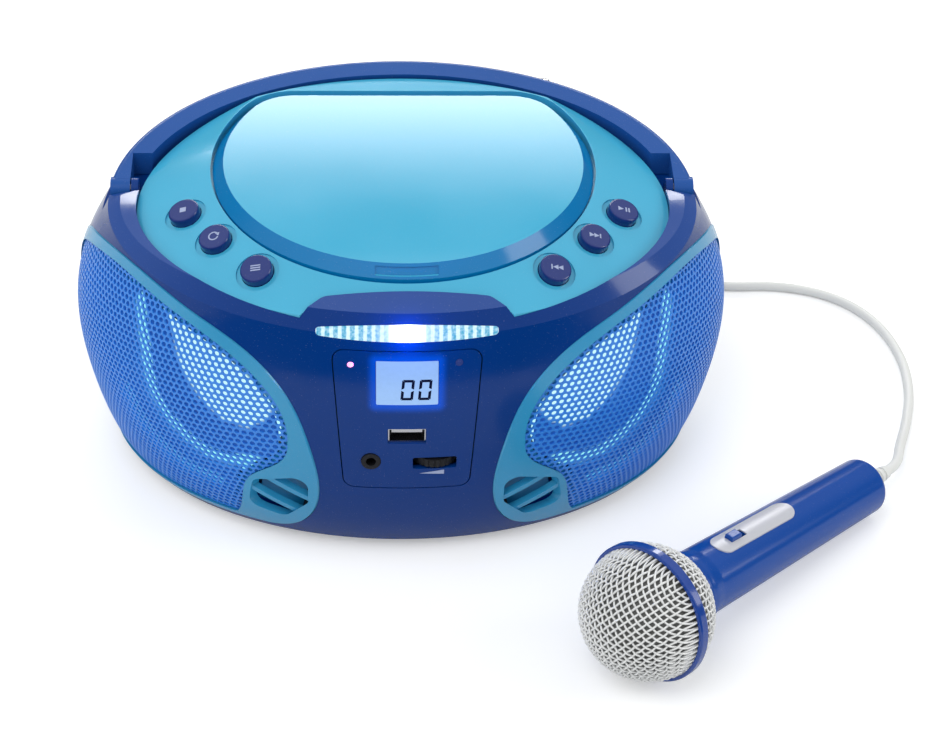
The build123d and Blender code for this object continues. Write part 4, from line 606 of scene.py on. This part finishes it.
glows = {
    "ring": glowing("ringGlow", (0.5, 0.8, 1.0), (0.30, 0.85, 1.0), 1.0),
    "power": glowing("powerGlow", (1.0, 0.4, 0.8), (1.0, 0.25, 0.75), 2.2),
    "idle": plastic("lampIdle", (0.03, 0.05, 0.2), 0.15, 0.05, 0.05, 0.5),
}
for side in ("left", "right"):
    dress(f"speaker_cone_{side}", paintedConeGlow())
dress("light_rings", glows["ring"])
dress("indicator_lenses", glows["idle"])
print("lamps lit")


# ---- microphone: woven wire basket over dark foam
micSet = {"middle": (81.7, -136.4), "turn": 42.0, "band": 25.3, "tail": 10.9, "length": 126.0,
          "edge": 2.5, "relief": 14.0, "ball": 23.35, "wire": 0.40, "wave": 0.34, "pitch": 2.15,
          "spin": 33.0, "sides": 5, "steps": 150, "cover": 1.42, "clear": 1.2,
          "neckFrom": 1.9, "neckRun": 15.1, "neckGap": 0.1, "neckEnd": 16.6, "neckDrop": 8.72,
          "ribs": 62, "hoops": 7, "firstHoop": 3.0, "firstRib": 1.2, "hoopSteps": 373,
          "ribSteps": 37}
foamSet = {"radius": 22.2, "from": 2, "to": 16.8, "arc": 1.65, "arcSteps": 26, "steps": 12,
           "gap": 1.2, "segments": 72}
micLean = np.arctan2(micSet["band"] - micSet["tail"], micSet["length"] - micSet["edge"])
micTurn = radians(micSet["turn"])
micAlong = np.array([cos(micTurn) * cos(micLean), sin(micTurn) * cos(micLean), -sin(micLean)])
micSide = np.array([sin(micTurn), -cos(micTurn), 0.0])
micUp = np.cross(micSide, micAlong)
micMiddle = np.array([*micSet["middle"], micSet["band"] * cos(micLean)])


def micPlace(station, up, aside):
    # millimetres along, above and beside the microphone's axis, as row metres
    return (micMiddle + station[..., None] * micAlong + up[..., None] * micUp
            + aside[..., None] * micSide) * mm


def frontWires():
    # two families of great-ball wires crossing over and under, in front of the band
    ball, pitch = micSet["ball"], micSet["pitch"]
    spin = radians(micSet["spin"])
    half = int(micSet["cover"] * ball / pitch)
    lane = np.arange(-half, half + 1)
    offset = ball * np.sin(lane * pitch / ball)
    reach = np.sqrt(ball ** 2 - offset ** 2)
    limit = np.arccos(np.clip(micSet["clear"] / reach, -1, 1))
    share = np.linspace(-1, 1, micSet["steps"])
    angle = limit[:, None] * share
    across = reach[:, None] * np.sin(angle)
    ahead = -reach[:, None] * np.cos(angle)
    crossing = np.arcsin(np.clip(across / ball, -1, 1)) * ball / pitch
    paths = []
    for family in (0, 1):
        swing = micSet["wave"] * np.cos(pi * (crossing + lane[:, None] + family))
        grow = 1 + swing / ball
        first, second = offset[:, None] * grow, across * grow
        if family:
            first, second = second, first
        up = first * cos(spin) - second * sin(spin)
        aside = first * sin(spin) + second * cos(spin)
        paths.append(micPlace(ahead * grow, up, aside) - micMiddle * mm)
    return np.concatenate(paths)


def neckRadius(station):
    # a parabola that draws the basket in from the ball towards the handle
    share = np.clip((station - micSet["neckFrom"]) / micSet["neckRun"], 0, 1)
    return micSet["ball"] - micSet["neckGap"] - micSet["neckDrop"] * share ** 2


def rearWires():
    # hoops and ribs of the basket behind the band
    count, hoops = micSet["ribs"], micSet["hoops"]
    stations = np.linspace(micSet["firstHoop"], micSet["neckEnd"], hoops)
    around = np.linspace(0, 2 * pi, micSet["hoopSteps"])
    swing = micSet["wave"] * np.cos(around[None] * count / 2 + pi * np.arange(hoops)[:, None])
    radius = neckRadius(stations)[:, None] + swing
    rings = micPlace(stations[:, None] + 0 * radius, radius * np.cos(around),
                     radius * np.sin(around)) - micMiddle * mm
    turn = np.arange(count) * 2 * pi / count
    line = np.linspace(micSet["firstRib"], micSet["neckEnd"], micSet["ribSteps"])
    lane = (line - stations[0]) / (stations[1] - stations[0])
    swing = -micSet["wave"] * np.cos(pi * (lane[None] + np.arange(count)[:, None]))
    radius = neckRadius(line)[None] + swing
    ribs = micPlace(line[None] + 0 * radius, radius * np.cos(turn)[:, None],
                    radius * np.sin(turn)[:, None]) - micMiddle * mm
    return rings, ribs


def basketMesh():
    points, quads, start = [], [], 0
    for paths in (frontWires(), *rearWires()):
        tubePoints, tubeQuads = sweepTubes(paths, micSet["wire"] * mm, micSet["sides"])
        points.append(tubePoints + micMiddle * mm)
        quads.append(tubeQuads + start)
        start += len(tubePoints)
    return np.concatenate(points), np.concatenate(quads)


def turnedSurface(stations, radii, segments):
    # surface of revolution about the microphone's axis
    turn = np.arange(segments) * 2 * pi / segments
    points = micPlace(np.repeat(stations[:, None], segments, 1), radii[:, None] * np.cos(turn),
                      radii[:, None] * np.sin(turn))
    index = np.arange(points.shape[0] * segments).reshape(-1, segments)
    after = np.roll(index, -1, axis=1)
    quads = np.stack([index[:-1], after[:-1], after[1:], index[1:]], axis=-1)
    return points.reshape(-1, 3), quads.reshape(-1, 4)


basketPoints, basketQuads = basketMesh()
basket = makeMesh("mic_basket", basketPoints, basketQuads, finish["wire"], "microphone")
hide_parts("mic_mesh")
arc = np.linspace(pi, foamSet["arc"], foamSet["arcSteps"])
foamNeck = np.linspace(foamSet["from"], foamSet["to"], foamSet["steps"])
foamStations = np.concatenate([foamSet["radius"] * np.cos(arc), foamNeck])
foamRadii = np.concatenate([np.maximum(foamSet["radius"] * np.sin(arc), 0.01),
                            neckRadius(foamNeck) - foamSet["gap"]])
foamPoints, foamQuads = turnedSurface(foamStations, foamRadii, foamSet["segments"])
makeMesh("mic_foam", foamPoints, foamQuads, finish["foam"], "microphone")
print("basket woven,", len(basketQuads), "faces")


# ---- microphone cable
cableSet = {"radius": 2.0, "centre": (30.0, 156.0), "outer": 30.0, "lane": 4.0, "turns": 4,
            "perTurn": 14, "low": 2.0, "high": 6.0, "length": 1.47}
cableStart = micMiddle + micAlong * (micSet["length"] + micSet["relief"])
cableRoute = [tuple(cableStart), tuple(cableStart + micAlong * 8), (195, -24, 5.2),
              (202, -6, 2.7), (208, 15, 2), (210, 39, 2), (204.5, 65, 2), (190, 84, 2),
              (167, 93, 2), (140, 91.5, 2), (113, 100, 2), (87, 114, 2), (62, 123.5, 2),
              (40, 127.5, 2)]


def coilPoints():
    # lanes inwards on the floor, half a turn up, then the same lanes outwards on top
    turns, count = cableSet["turns"], cableSet["perTurn"]
    steps = np.arange(1, int((2 * turns + 0.5) * count) + 1) / count
    inward = np.minimum(steps, turns)
    outward = np.maximum(steps - turns - 0.5, 0)
    radius = cableSet["outer"] + cableSet["lane"] * (outward - inward)
    rise = np.clip((steps - turns) / 0.5, 0, 1)
    height = cableSet["low"] + (cableSet["high"] - cableSet["low"]) * rise
    turn = -pi / 2 - 2 * pi * steps
    centre = cableSet["centre"]
    return np.stack([centre[0] + radius * np.cos(turn), centre[1] + radius * np.sin(turn),
                     height], axis=-1)


wound = coilPoints()
lead = [(40, 186.2, 5.7), (47, 186, 4.8), (53, 186, 4.5)]
routePoints = np.array(cableRoute + [tuple(point) for point in wound] + lead) * mm
curve = bpy.data.curves.new("mic_lead", "CURVE")
curve.dimensions = "3D"
curve.bevel_depth = cableSet["radius"] * mm
curve.bevel_resolution = 5
spline = curve.splines.new("NURBS")
spline.points.add(len(routePoints) - 1)
spline.points.foreach_set("co", np.c_[routePoints, np.ones(len(routePoints))].ravel())
spline.order_u = 3
spline.use_endpoint_u = True
spline.resolution_u = 6
curve.materials.append(finish["cableWhite"])
micLead = bpy.data.objects.new("mic_lead", curve)
scene.collection.objects.link(micLead)
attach(micLead, "microphone")
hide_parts("mic_cable", "mic_coil")
print("cable laid")


# ---- flat marks: symbols, digits, printed shapes
def makeMarks(name, shapes, placePoint, material, body):
    # closed outlines in millimetres, joined into one flat mesh on a surface
    corners = [corner for shape in shapes for corner in shape]
    starts = np.cumsum([0] + [len(shape) for shape in shapes])
    faces = [list(range(first, last)) for first, last in zip(starts, starts[1:])]
    mesh = bpy.data.meshes.new(name)
    mesh.from_pydata([placePoint(x, y) for x, y in corners], [], faces)
    mesh.materials.append(material)
    piece = bpy.data.objects.new(name, mesh)
    scene.collection.objects.link(piece)
    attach(piece, body)
    return piece


def box2(x, y, width, tall):
    return [(x - width / 2, y - tall / 2), (x + width / 2, y - tall / 2),
            (x + width / 2, y + tall / 2), (x - width / 2, y + tall / 2)]


def arrow(x, y, size, way=1):
    return [(x - way * size / 2, y - size / 2), (x + way * size / 2, y),
            (x - way * size / 2, y + size / 2)][::way]


def loopArrow(radius, thick):
    # open ring with an arrow head, for repeat
    turns = np.linspace(0.5, 2 * pi - 0.3, 22)
    shapes = []
    for first, second in zip(turns, turns[1:]):
        shapes.append([((radius + side) * cos(angle), (radius + side) * sin(angle))
                       for side, angle in ((thick / 2, first), (thick / 2, second),
                                           (-thick / 2, second), (-thick / 2, first))])
    shapes.append([(radius * cos(0.5) - 0.95, radius * sin(0.5) + 0.25),
                   (radius * cos(0.5) + 0.75, radius * sin(0.5) + 0.5),
                   (radius * cos(0.5) + 0.35, radius * sin(0.5) - 1.1)])
    return shapes


buttonSet = {
    "spots": {"stop": (-79.0, -16.0, 108.976, -0.2967, -0.1700, 0.9397),
              "play": (79.0, -16.0, 108.976, 0.2967, -0.1700, 0.9397),
              "play_mode": (-67.2, -32.7, 108.811, -0.2729, -0.2534, 0.9281),
              "next": (67.2, -32.7, 108.811, 0.2729, -0.2534, 0.9281),
              "album": (-51.9, -50.1, 107.256, -0.2272, -0.3564, 0.9063),
              "previous": (51.9, -50.1, 107.256, 0.2272, -0.3564, 0.9063)},
    "proud": 2.6, "lift": 0.03}
buttonMarks = {
    "stop": [box2(0, 0, 2.3, 2.3)],
    "play": [arrow(-1.35, 0, 2.2), box2(0.65, 0, 0.6, 2.2), box2(1.75, 0, 0.6, 2.2)],
    "play_mode": loopArrow(1.7, 0.5),
    "next": [arrow(-1.5, 0, 2.0), arrow(0.3, 0, 2.0), box2(1.65, 0, 0.5, 2.0)],
    "album": [box2(0, 0.95, 3.6, 0.5), box2(0, 0, 3.6, 0.5), box2(0, -0.95, 3.6, 0.5)],
    "previous": [arrow(1.5, 0, 2.0, -1), arrow(-0.3, 0, 2.0, -1), box2(-1.65, 0, 0.5, 2.0)],
}
for key, (x, y, z, nx, ny, nz) in buttonSet["spots"].items():
    square = Vector((nx, ny, nz)).normalized()
    right = (Vector((1, 0, 0)) - square * square.x).normalized()
    ahead = square.cross(right)
    middle = Vector((x, y, z)) + square * (buttonSet["proud"] + buttonSet["lift"])
    makeMarks(f"{key}_mark", buttonMarks[key],
              lambda px, py, m=middle, r=right, a=ahead: (m + r * px + a * py) * mm,
              finish["ink"], f"{key}_key")


frontSet = {"nodes": ("control_panel", "lcd_window", "upper_shell", "indicator_lenses"),
            "from": -0.2}


def frontPlace(x, z, lift=0.05):
    # nearest front surface straight behind a point of the panel, lifted a hair
    start = Vector((x * mm, frontSet["from"], z * mm))
    hits = [nodes[name].ray_cast(start, Vector((0, 1, 0))) for name in frontSet["nodes"]]
    nearest = min(spot.y for hit, spot, _, _ in hits if hit)
    return Vector((x * mm, nearest - lift * mm, z * mm))


displaySet = {"digits": ((-2.4, 73.6), (3.7, 73.6)), "wide": 4.4, "tall": 7.9, "lean": 0.09,
              "stroke": 0.98, "gap": 0.22, "mitre": 0.8, "cut": 0.5}


def digit(x, z):
    # the six lit bars of a nought, mitred and a little apart
    wide, tall, gap = displaySet["wide"], displaySet["tall"], displaySet["gap"]
    stroke, cut = displaySet["stroke"], displaySet["cut"]
    mitre = stroke * displaySet["mitre"]
    shapes = []
    for row, inward in ((0, stroke), (tall, -stroke)):
        shapes.append([(gap, row), (wide - gap, row), (wide - gap - mitre, row + inward),
                       (gap + mitre, row + inward)])
    for column, inward in ((0, stroke), (wide, -stroke)):
        for low, high in ((gap, tall / 2 - gap), (tall / 2 + gap, tall - gap)):
            shapes.append([(column, low), (column, high), (column + inward, high - cut),
                           (column + inward, low + cut)])
    return [[(x + px + displaySet["lean"] * py, z + py) for px, py in shape]
            for shape in shapes]


display = [bar for x, z in displaySet["digits"] for bar in digit(x, z)]
inkDark = plastic("segmentInk", (0.0, 0.003, 0.03), 0.6, 0.05, 0.05, specular=0.1)
makeMarks("display_digits", display, frontPlace, inkDark, "housing")

# the wedge beside the wheel: a foot line and a rising top line, in panel millimetres
wedgeSet = {"left": 4.5, "right": 13.3, "edges": 9, "foot": (42.7, -0.07),
            "top": (42.72, 0.145)}
wedgeEdges = np.linspace(wedgeSet["left"], wedgeSet["right"], wedgeSet["edges"])


def wedgeLine(key, x):
    level, slope = wedgeSet[key]
    return x, level + (x - wedgeSet["left"]) * slope


wedge = [[wedgeLine("foot", left), wedgeLine("foot", right), wedgeLine("top", right),
          wedgeLine("top", left)] for left, right in zip(wedgeEdges, wedgeEdges[1:])]
makeMarks("mic_level_wedge", wedge, frontPlace, finish["ink"], "housing")


# ---- lit materials of the display and the bar, and the panel's painted glow
glassSet = {"foot": 0.0715, "top": 0.0885, "footColour": (0.34, 0.56, 0.90, 1),
            "topColour": (0.30, 0.50, 0.90, 1), "grain": 700, "swing": 0.1, "level": 0.76}


def litDisplay():
    # backlit glass, a little deeper in colour towards its top
    made, tree, shader = newMaterial("displayLit")
    place = objectPlace(tree)
    fade = rangeNode(tree, splitAxes(tree, place)["Z"], (glassSet["foot"], glassSet["top"]),
                     (0.0, 1.0), "LINEAR")
    grid = noiseNode(tree, place, glassSet["grain"], 1)
    tree.links.new(mixColours(tree, fade, glassSet["footColour"], glassSet["topColour"]),
                   shader.inputs["Emission Color"])
    tree.links.new(mathNode(tree, "MULTIPLY_ADD", grid, glassSet["swing"], glassSet["level"]),
                   shader.inputs["Emission Strength"])
    setSockets(shader, {"Base Color": (0.06, 0.10, 0.2, 1), "Roughness": 0.12})
    return made


barSet = {"cells": 345, "shift": 50, "wall": (0.20, 0.36), "wallShare": 0.75, "glint": 900,
          "glintSwing": 1.5, "glintLevel": -0.55, "spot": 0.0036, "spread": 0.0085,
          "teal": (0.03, 0.30, 0.45, 1), "pale": (0.80, 0.97, 1.0, 1),
          "lilac": (0.86, 0.90, 1.0, 1), "spotGain": 6.0, "level": 0.95}


def bell(tree, value, reach):
    # e to the power of minus the square of value over reach
    ratio = mathNode(tree, "DIVIDE", value, reach)
    square = mathNode(tree, "MULTIPLY", ratio, ratio)
    return mathNode(tree, "POWER", 2.718, mathNode(tree, "MULTIPLY", square, -1.0))


def litBar():
    # clear lens cast in square cells: white cell walls, teal middles, a lamp at the centre
    made, tree, shader = newMaterial("barLit")
    place = objectPlace(tree)
    across = splitAxes(tree, place)["X"]
    cell = mathNode(tree, "FRACT", mathNode(tree, "MULTIPLY_ADD", across, barSet["cells"],
                                            barSet["shift"]))
    off = mathNode(tree, "ABSOLUTE", mathNode(tree, "SUBTRACT", cell, 0.5))
    wall = rangeNode(tree, off, barSet["wall"], (0.0, 1.0))
    glint = mathNode(tree, "MULTIPLY_ADD", noiseNode(tree, place, barSet["glint"], 2),
                     barSet["glintSwing"], barSet["glintLevel"])
    shine = addNode(tree, "Clamp")
    tree.links.new(mathNode(tree, "ADD", mathNode(tree, "MULTIPLY", wall, barSet["wallShare"]),
                            glint), shine.inputs["Value"])
    tint = mixColours(tree, shine.outputs[0], barSet["teal"], barSet["pale"])
    tint = mixColours(tree, bell(tree, across, barSet["spread"]), tint, barSet["lilac"])
    tree.links.new(tint, shader.inputs["Emission Color"])
    tree.links.new(mathNode(tree, "MULTIPLY_ADD", bell(tree, across, barSet["spot"]),
                            barSet["spotGain"], barSet["level"]),
                   shader.inputs["Emission Strength"])
    setSockets(shader, {"Base Color": (0.05, 0.15, 0.25, 1), "Roughness": 0.06})
    return made


# painted glow round the display window on the panel: the window's middle and half size on two
# axes, how far the glow reaches, its strength and colour
haloSet = {"window": (("X", 0.0, 0.0108), ("Z", 0.080, 0.0083)), "reach": 0.0042,
           "strength": 0.42, "light": (0.0, 0.10, 0.95, 1)}


def navyPaintedHalo():
    # gloss navy with the display's blue light painted on it as emission round the display's four
    # edges
    made, tree, shader = newMaterial("panelNavyPaintedHalo")
    laySkin(tree, shader, {"Colour": (*navyColour, 1), "Depth": 0.10, "Peel": 0.05,
                           "Rough": 0.14})
    shader.inputs["Specular IOR Level"].default_value = navySpecular
    axes = splitAxes(tree, objectPlace(tree))
    squares = []
    for axis, middle, half in haloSet["window"]:
        off = mathNode(tree, "ABSOLUTE", mathNode(tree, "SUBTRACT", axes[axis], middle))
        past = mathNode(tree, "MAXIMUM", mathNode(tree, "SUBTRACT", off, half), 0.0)
        squares.append(mathNode(tree, "MULTIPLY", past, past))
    away = mathNode(tree, "SQRT", mathNode(tree, "ADD", *squares))
    fade = rangeNode(tree, away, (0.0, haloSet["reach"]), (haloSet["strength"], 0.0),
                     "SMOOTHERSTEP")
    layStrength(tree, shader, haloSet["light"], fade)
    return made


dress("control_panel", navyPaintedHalo())
dress("lcd_window", litDisplay())
dress("light_bar_lens", litBar())
print("marks and display drawn")


# ---- power lamp, shown lit over its lens
lampSet = {"x": -19.6, "z": 86.6, "radius": 1.15, "rise": 0.45, "sink": 0.05, "rings": 6,
           "segments": 20}
rings, segments = lampSet["rings"], lampSet["segments"]
lampFace = frontPlace(lampSet["x"], lampSet["z"], 0.0)
tilt = np.linspace(0, pi / 2, rings)[:, None]
turn = np.arange(segments) * 2 * pi / segments
dome = np.stack([lampSet["radius"] * np.sin(tilt) * np.cos(turn),
                 -lampSet["rise"] * np.cos(tilt) + 0 * turn + lampSet["sink"],
                 lampSet["radius"] * np.sin(tilt) * np.sin(turn)], axis=-1)
index = np.arange(rings * segments).reshape(rings, segments)
after = np.roll(index, -1, axis=1)
domeQuads = np.stack([index[:-1], index[1:], after[1:], after[:-1]], axis=-1).reshape(-1, 4)
makeMesh("power_lamp", dome.reshape(-1, 3) * mm + np.array(lampFace), domeQuads, glows["power"],
         "housing")


# ---- floor, surroundings and lights
def stagePlane(name, points, material, seen=True):
    mesh = bpy.data.meshes.new(name)
    mesh.from_pydata(points, [], [(0, 1, 2, 3)])
    mesh.materials.append(material)
    plane = bpy.data.objects.new(name, mesh)
    scene.collection.objects.link(plane)
    plane.visible_camera = seen
    return plane


stageSet = {"reach": 4.0, "paint": (0.80, 0.80, 0.80, 1), "seenGlow": 0.36,
            "mirrorEnd": (-0.30, -0.36),
            "mirrorDark": (0.02, 0.02, 0.03, 1), "panelHalf": 0.75, "panelBack": 1.45,
            "panelHeights": (0.80, 1.28), "panelFade": (0.90, 1.22), "panelStrength": 9.0,
            "skyColour": (0.95, 0.98, 1.0, 1), "skyStrength": 0.62,
            "mirroredSky": (0.30, 0.75), "mirroredLevels": (0.12, 1.0)}


def stageMaterial(name):
    made = bpy.data.materials.new(name)
    made.use_nodes = True
    made.node_tree.nodes.remove(made.node_tree.nodes["Principled BSDF"])
    return made, made.node_tree


def joinShaders(tree, kind, factor, first, second):
    # two shaders added, or mixed by a factor
    made = addNode(tree, kind)
    sources = (first, second) if factor is None else (factor, first, second)
    for index, source in enumerate(sources):
        tree.links.new(source, made.inputs[index])
    return made.outputs[0]


def floorFinish():
    # matt pale floor, lifted to white where the camera sees it
    made, tree = stageMaterial("paleFloor")
    plain = addNode(tree, "BsdfDiffuse")
    plain.inputs["Color"].default_value = stageSet["paint"]
    shine = addNode(tree, "Emission")
    path = addNode(tree, "LightPath")
    tree.links.new(mathNode(tree, "MULTIPLY", path.outputs["Is Camera Ray"],
                            stageSet["seenGlow"]), shine.inputs["Strength"])
    both = joinShaders(tree, "AddShader", None, plain.outputs[0], shine.outputs[0])
    # mirrors see the table end a little way in front
    edge = rangeNode(tree, splitAxes(tree, objectPlace(tree))["Y"], stageSet["mirrorEnd"],
                     (0.0, 1.0))
    dark = addNode(tree, "BsdfDiffuse")
    dark.inputs["Color"].default_value = stageSet["mirrorDark"]
    share = mathNode(tree, "MULTIPLY", path.outputs["Is Glossy Ray"], edge)
    tree.links.new(joinShaders(tree, "MixShader", share, both, dark.outputs[0]),
                   tree.nodes["Material Output"].inputs["Surface"])
    return made


def panelFinish():
    # studio panel that fades out between two heights
    made, tree = stageMaterial("rearPanel")
    shine = addNode(tree, "Emission")
    fade = rangeNode(tree, splitAxes(tree, objectPlace(tree))["Z"], stageSet["panelFade"],
                     (stageSet["panelStrength"], 0.0))
    tree.links.new(fade, shine.inputs["Strength"])
    tree.links.new(shine.outputs[0], tree.nodes["Material Output"].inputs["Surface"])
    return made


reach = stageSet["reach"]
stagePlane("floor", [(-reach, -reach, 0), (reach, -reach, 0), (reach, reach, 0),
                     (-reach, reach, 0)], floorFinish())
panelX, panelY = stageSet["panelHalf"], stageSet["panelBack"]
panelLow, panelHigh = stageSet["panelHeights"]
stagePlane("rear_panel", [(-panelX, panelY, panelLow), (panelX, panelY, panelLow),
                          (panelX, panelY, panelHigh), (-panelX, panelY, panelHigh)],
           panelFinish(), False)


# ---- surroundings: soft to the object, banded in mirrors, white to the camera
world = bpy.data.worlds.new("room")
scene.world = world
world.use_nodes = True
sky = world.node_tree
sky.nodes.remove(sky.nodes["Background"])
soft = addNode(sky, "Background")
setSockets(soft, {"Color": stageSet["skyColour"], "Strength": stageSet["skyStrength"]})
mirrored = addNode(sky, "Background")
height = splitAxes(sky, addNode(sky, "TexCoord").outputs["Generated"])["Z"]
sky.links.new(rangeNode(sky, height, stageSet["mirroredSky"], stageSet["mirroredLevels"]),
              mirrored.inputs["Strength"])
plainWhite = addNode(sky, "Background")
plainWhite.inputs["Color"].default_value = (1, 1, 1, 1)
path = addNode(sky, "LightPath")
unseen = joinShaders(sky, "MixShader", path.outputs["Is Glossy Ray"], soft.outputs[0],
                     mirrored.outputs[0])
seen = mathNode(sky, "MAXIMUM", path.outputs["Is Camera Ray"],
                path.outputs["Is Transmission Ray"])
sky.links.new(joinShaders(sky, "MixShader", seen, unseen, plainWhite.outputs[0]),
              sky.nodes["World Output"].inputs["Surface"])


# place, aim, size, watts, seen in mirrors
lightSet = {
    "key": ((-0.5, -0.7, 1.5), (0, 0, 0.05), (0.9, 0.9), 9.0, False),
    "right_fill": ((1.3, -0.25, 0.75), (0, 0, 0.08), (0.5, 0.9), 4.5, True),
    "left_fill": ((-1.3, 0.1, 0.8), (0, 0, 0.08), (0.5, 0.9), 2.5, False),
}
for name, (place, aim, size, power, mirroredToo) in lightSet.items():
    data = bpy.data.lights.new(name, "AREA")
    data.shape = "RECTANGLE"
    data.size, data.size_y = size
    data.energy = power
    lamp = bpy.data.objects.new(name, data)
    lamp.visible_glossy = mirroredToo
    scene.collection.objects.link(lamp)
    lamp.location = place
    lamp.rotation_euler = (Vector(aim) - Vector(place)).to_track_quat("-Z", "Y").to_euler()

# blue light that the bar's lamp throws on the front
spillSet = {"place": (0, -0.0815, 0.0995), "power": 0.012, "colour": (0.1, 0.25, 1.0),
            "radius": 0.002}
hot = bpy.data.lights.new("bar_spill", "POINT")
hot.energy = spillSet["power"]
hot.color = spillSet["colour"]
hot.shadow_soft_size = spillSet["radius"]
spill = bpy.data.objects.new("bar_spill", hot)
scene.collection.objects.link(spill)
spill.location = spillSet["place"]
print("stage lit")
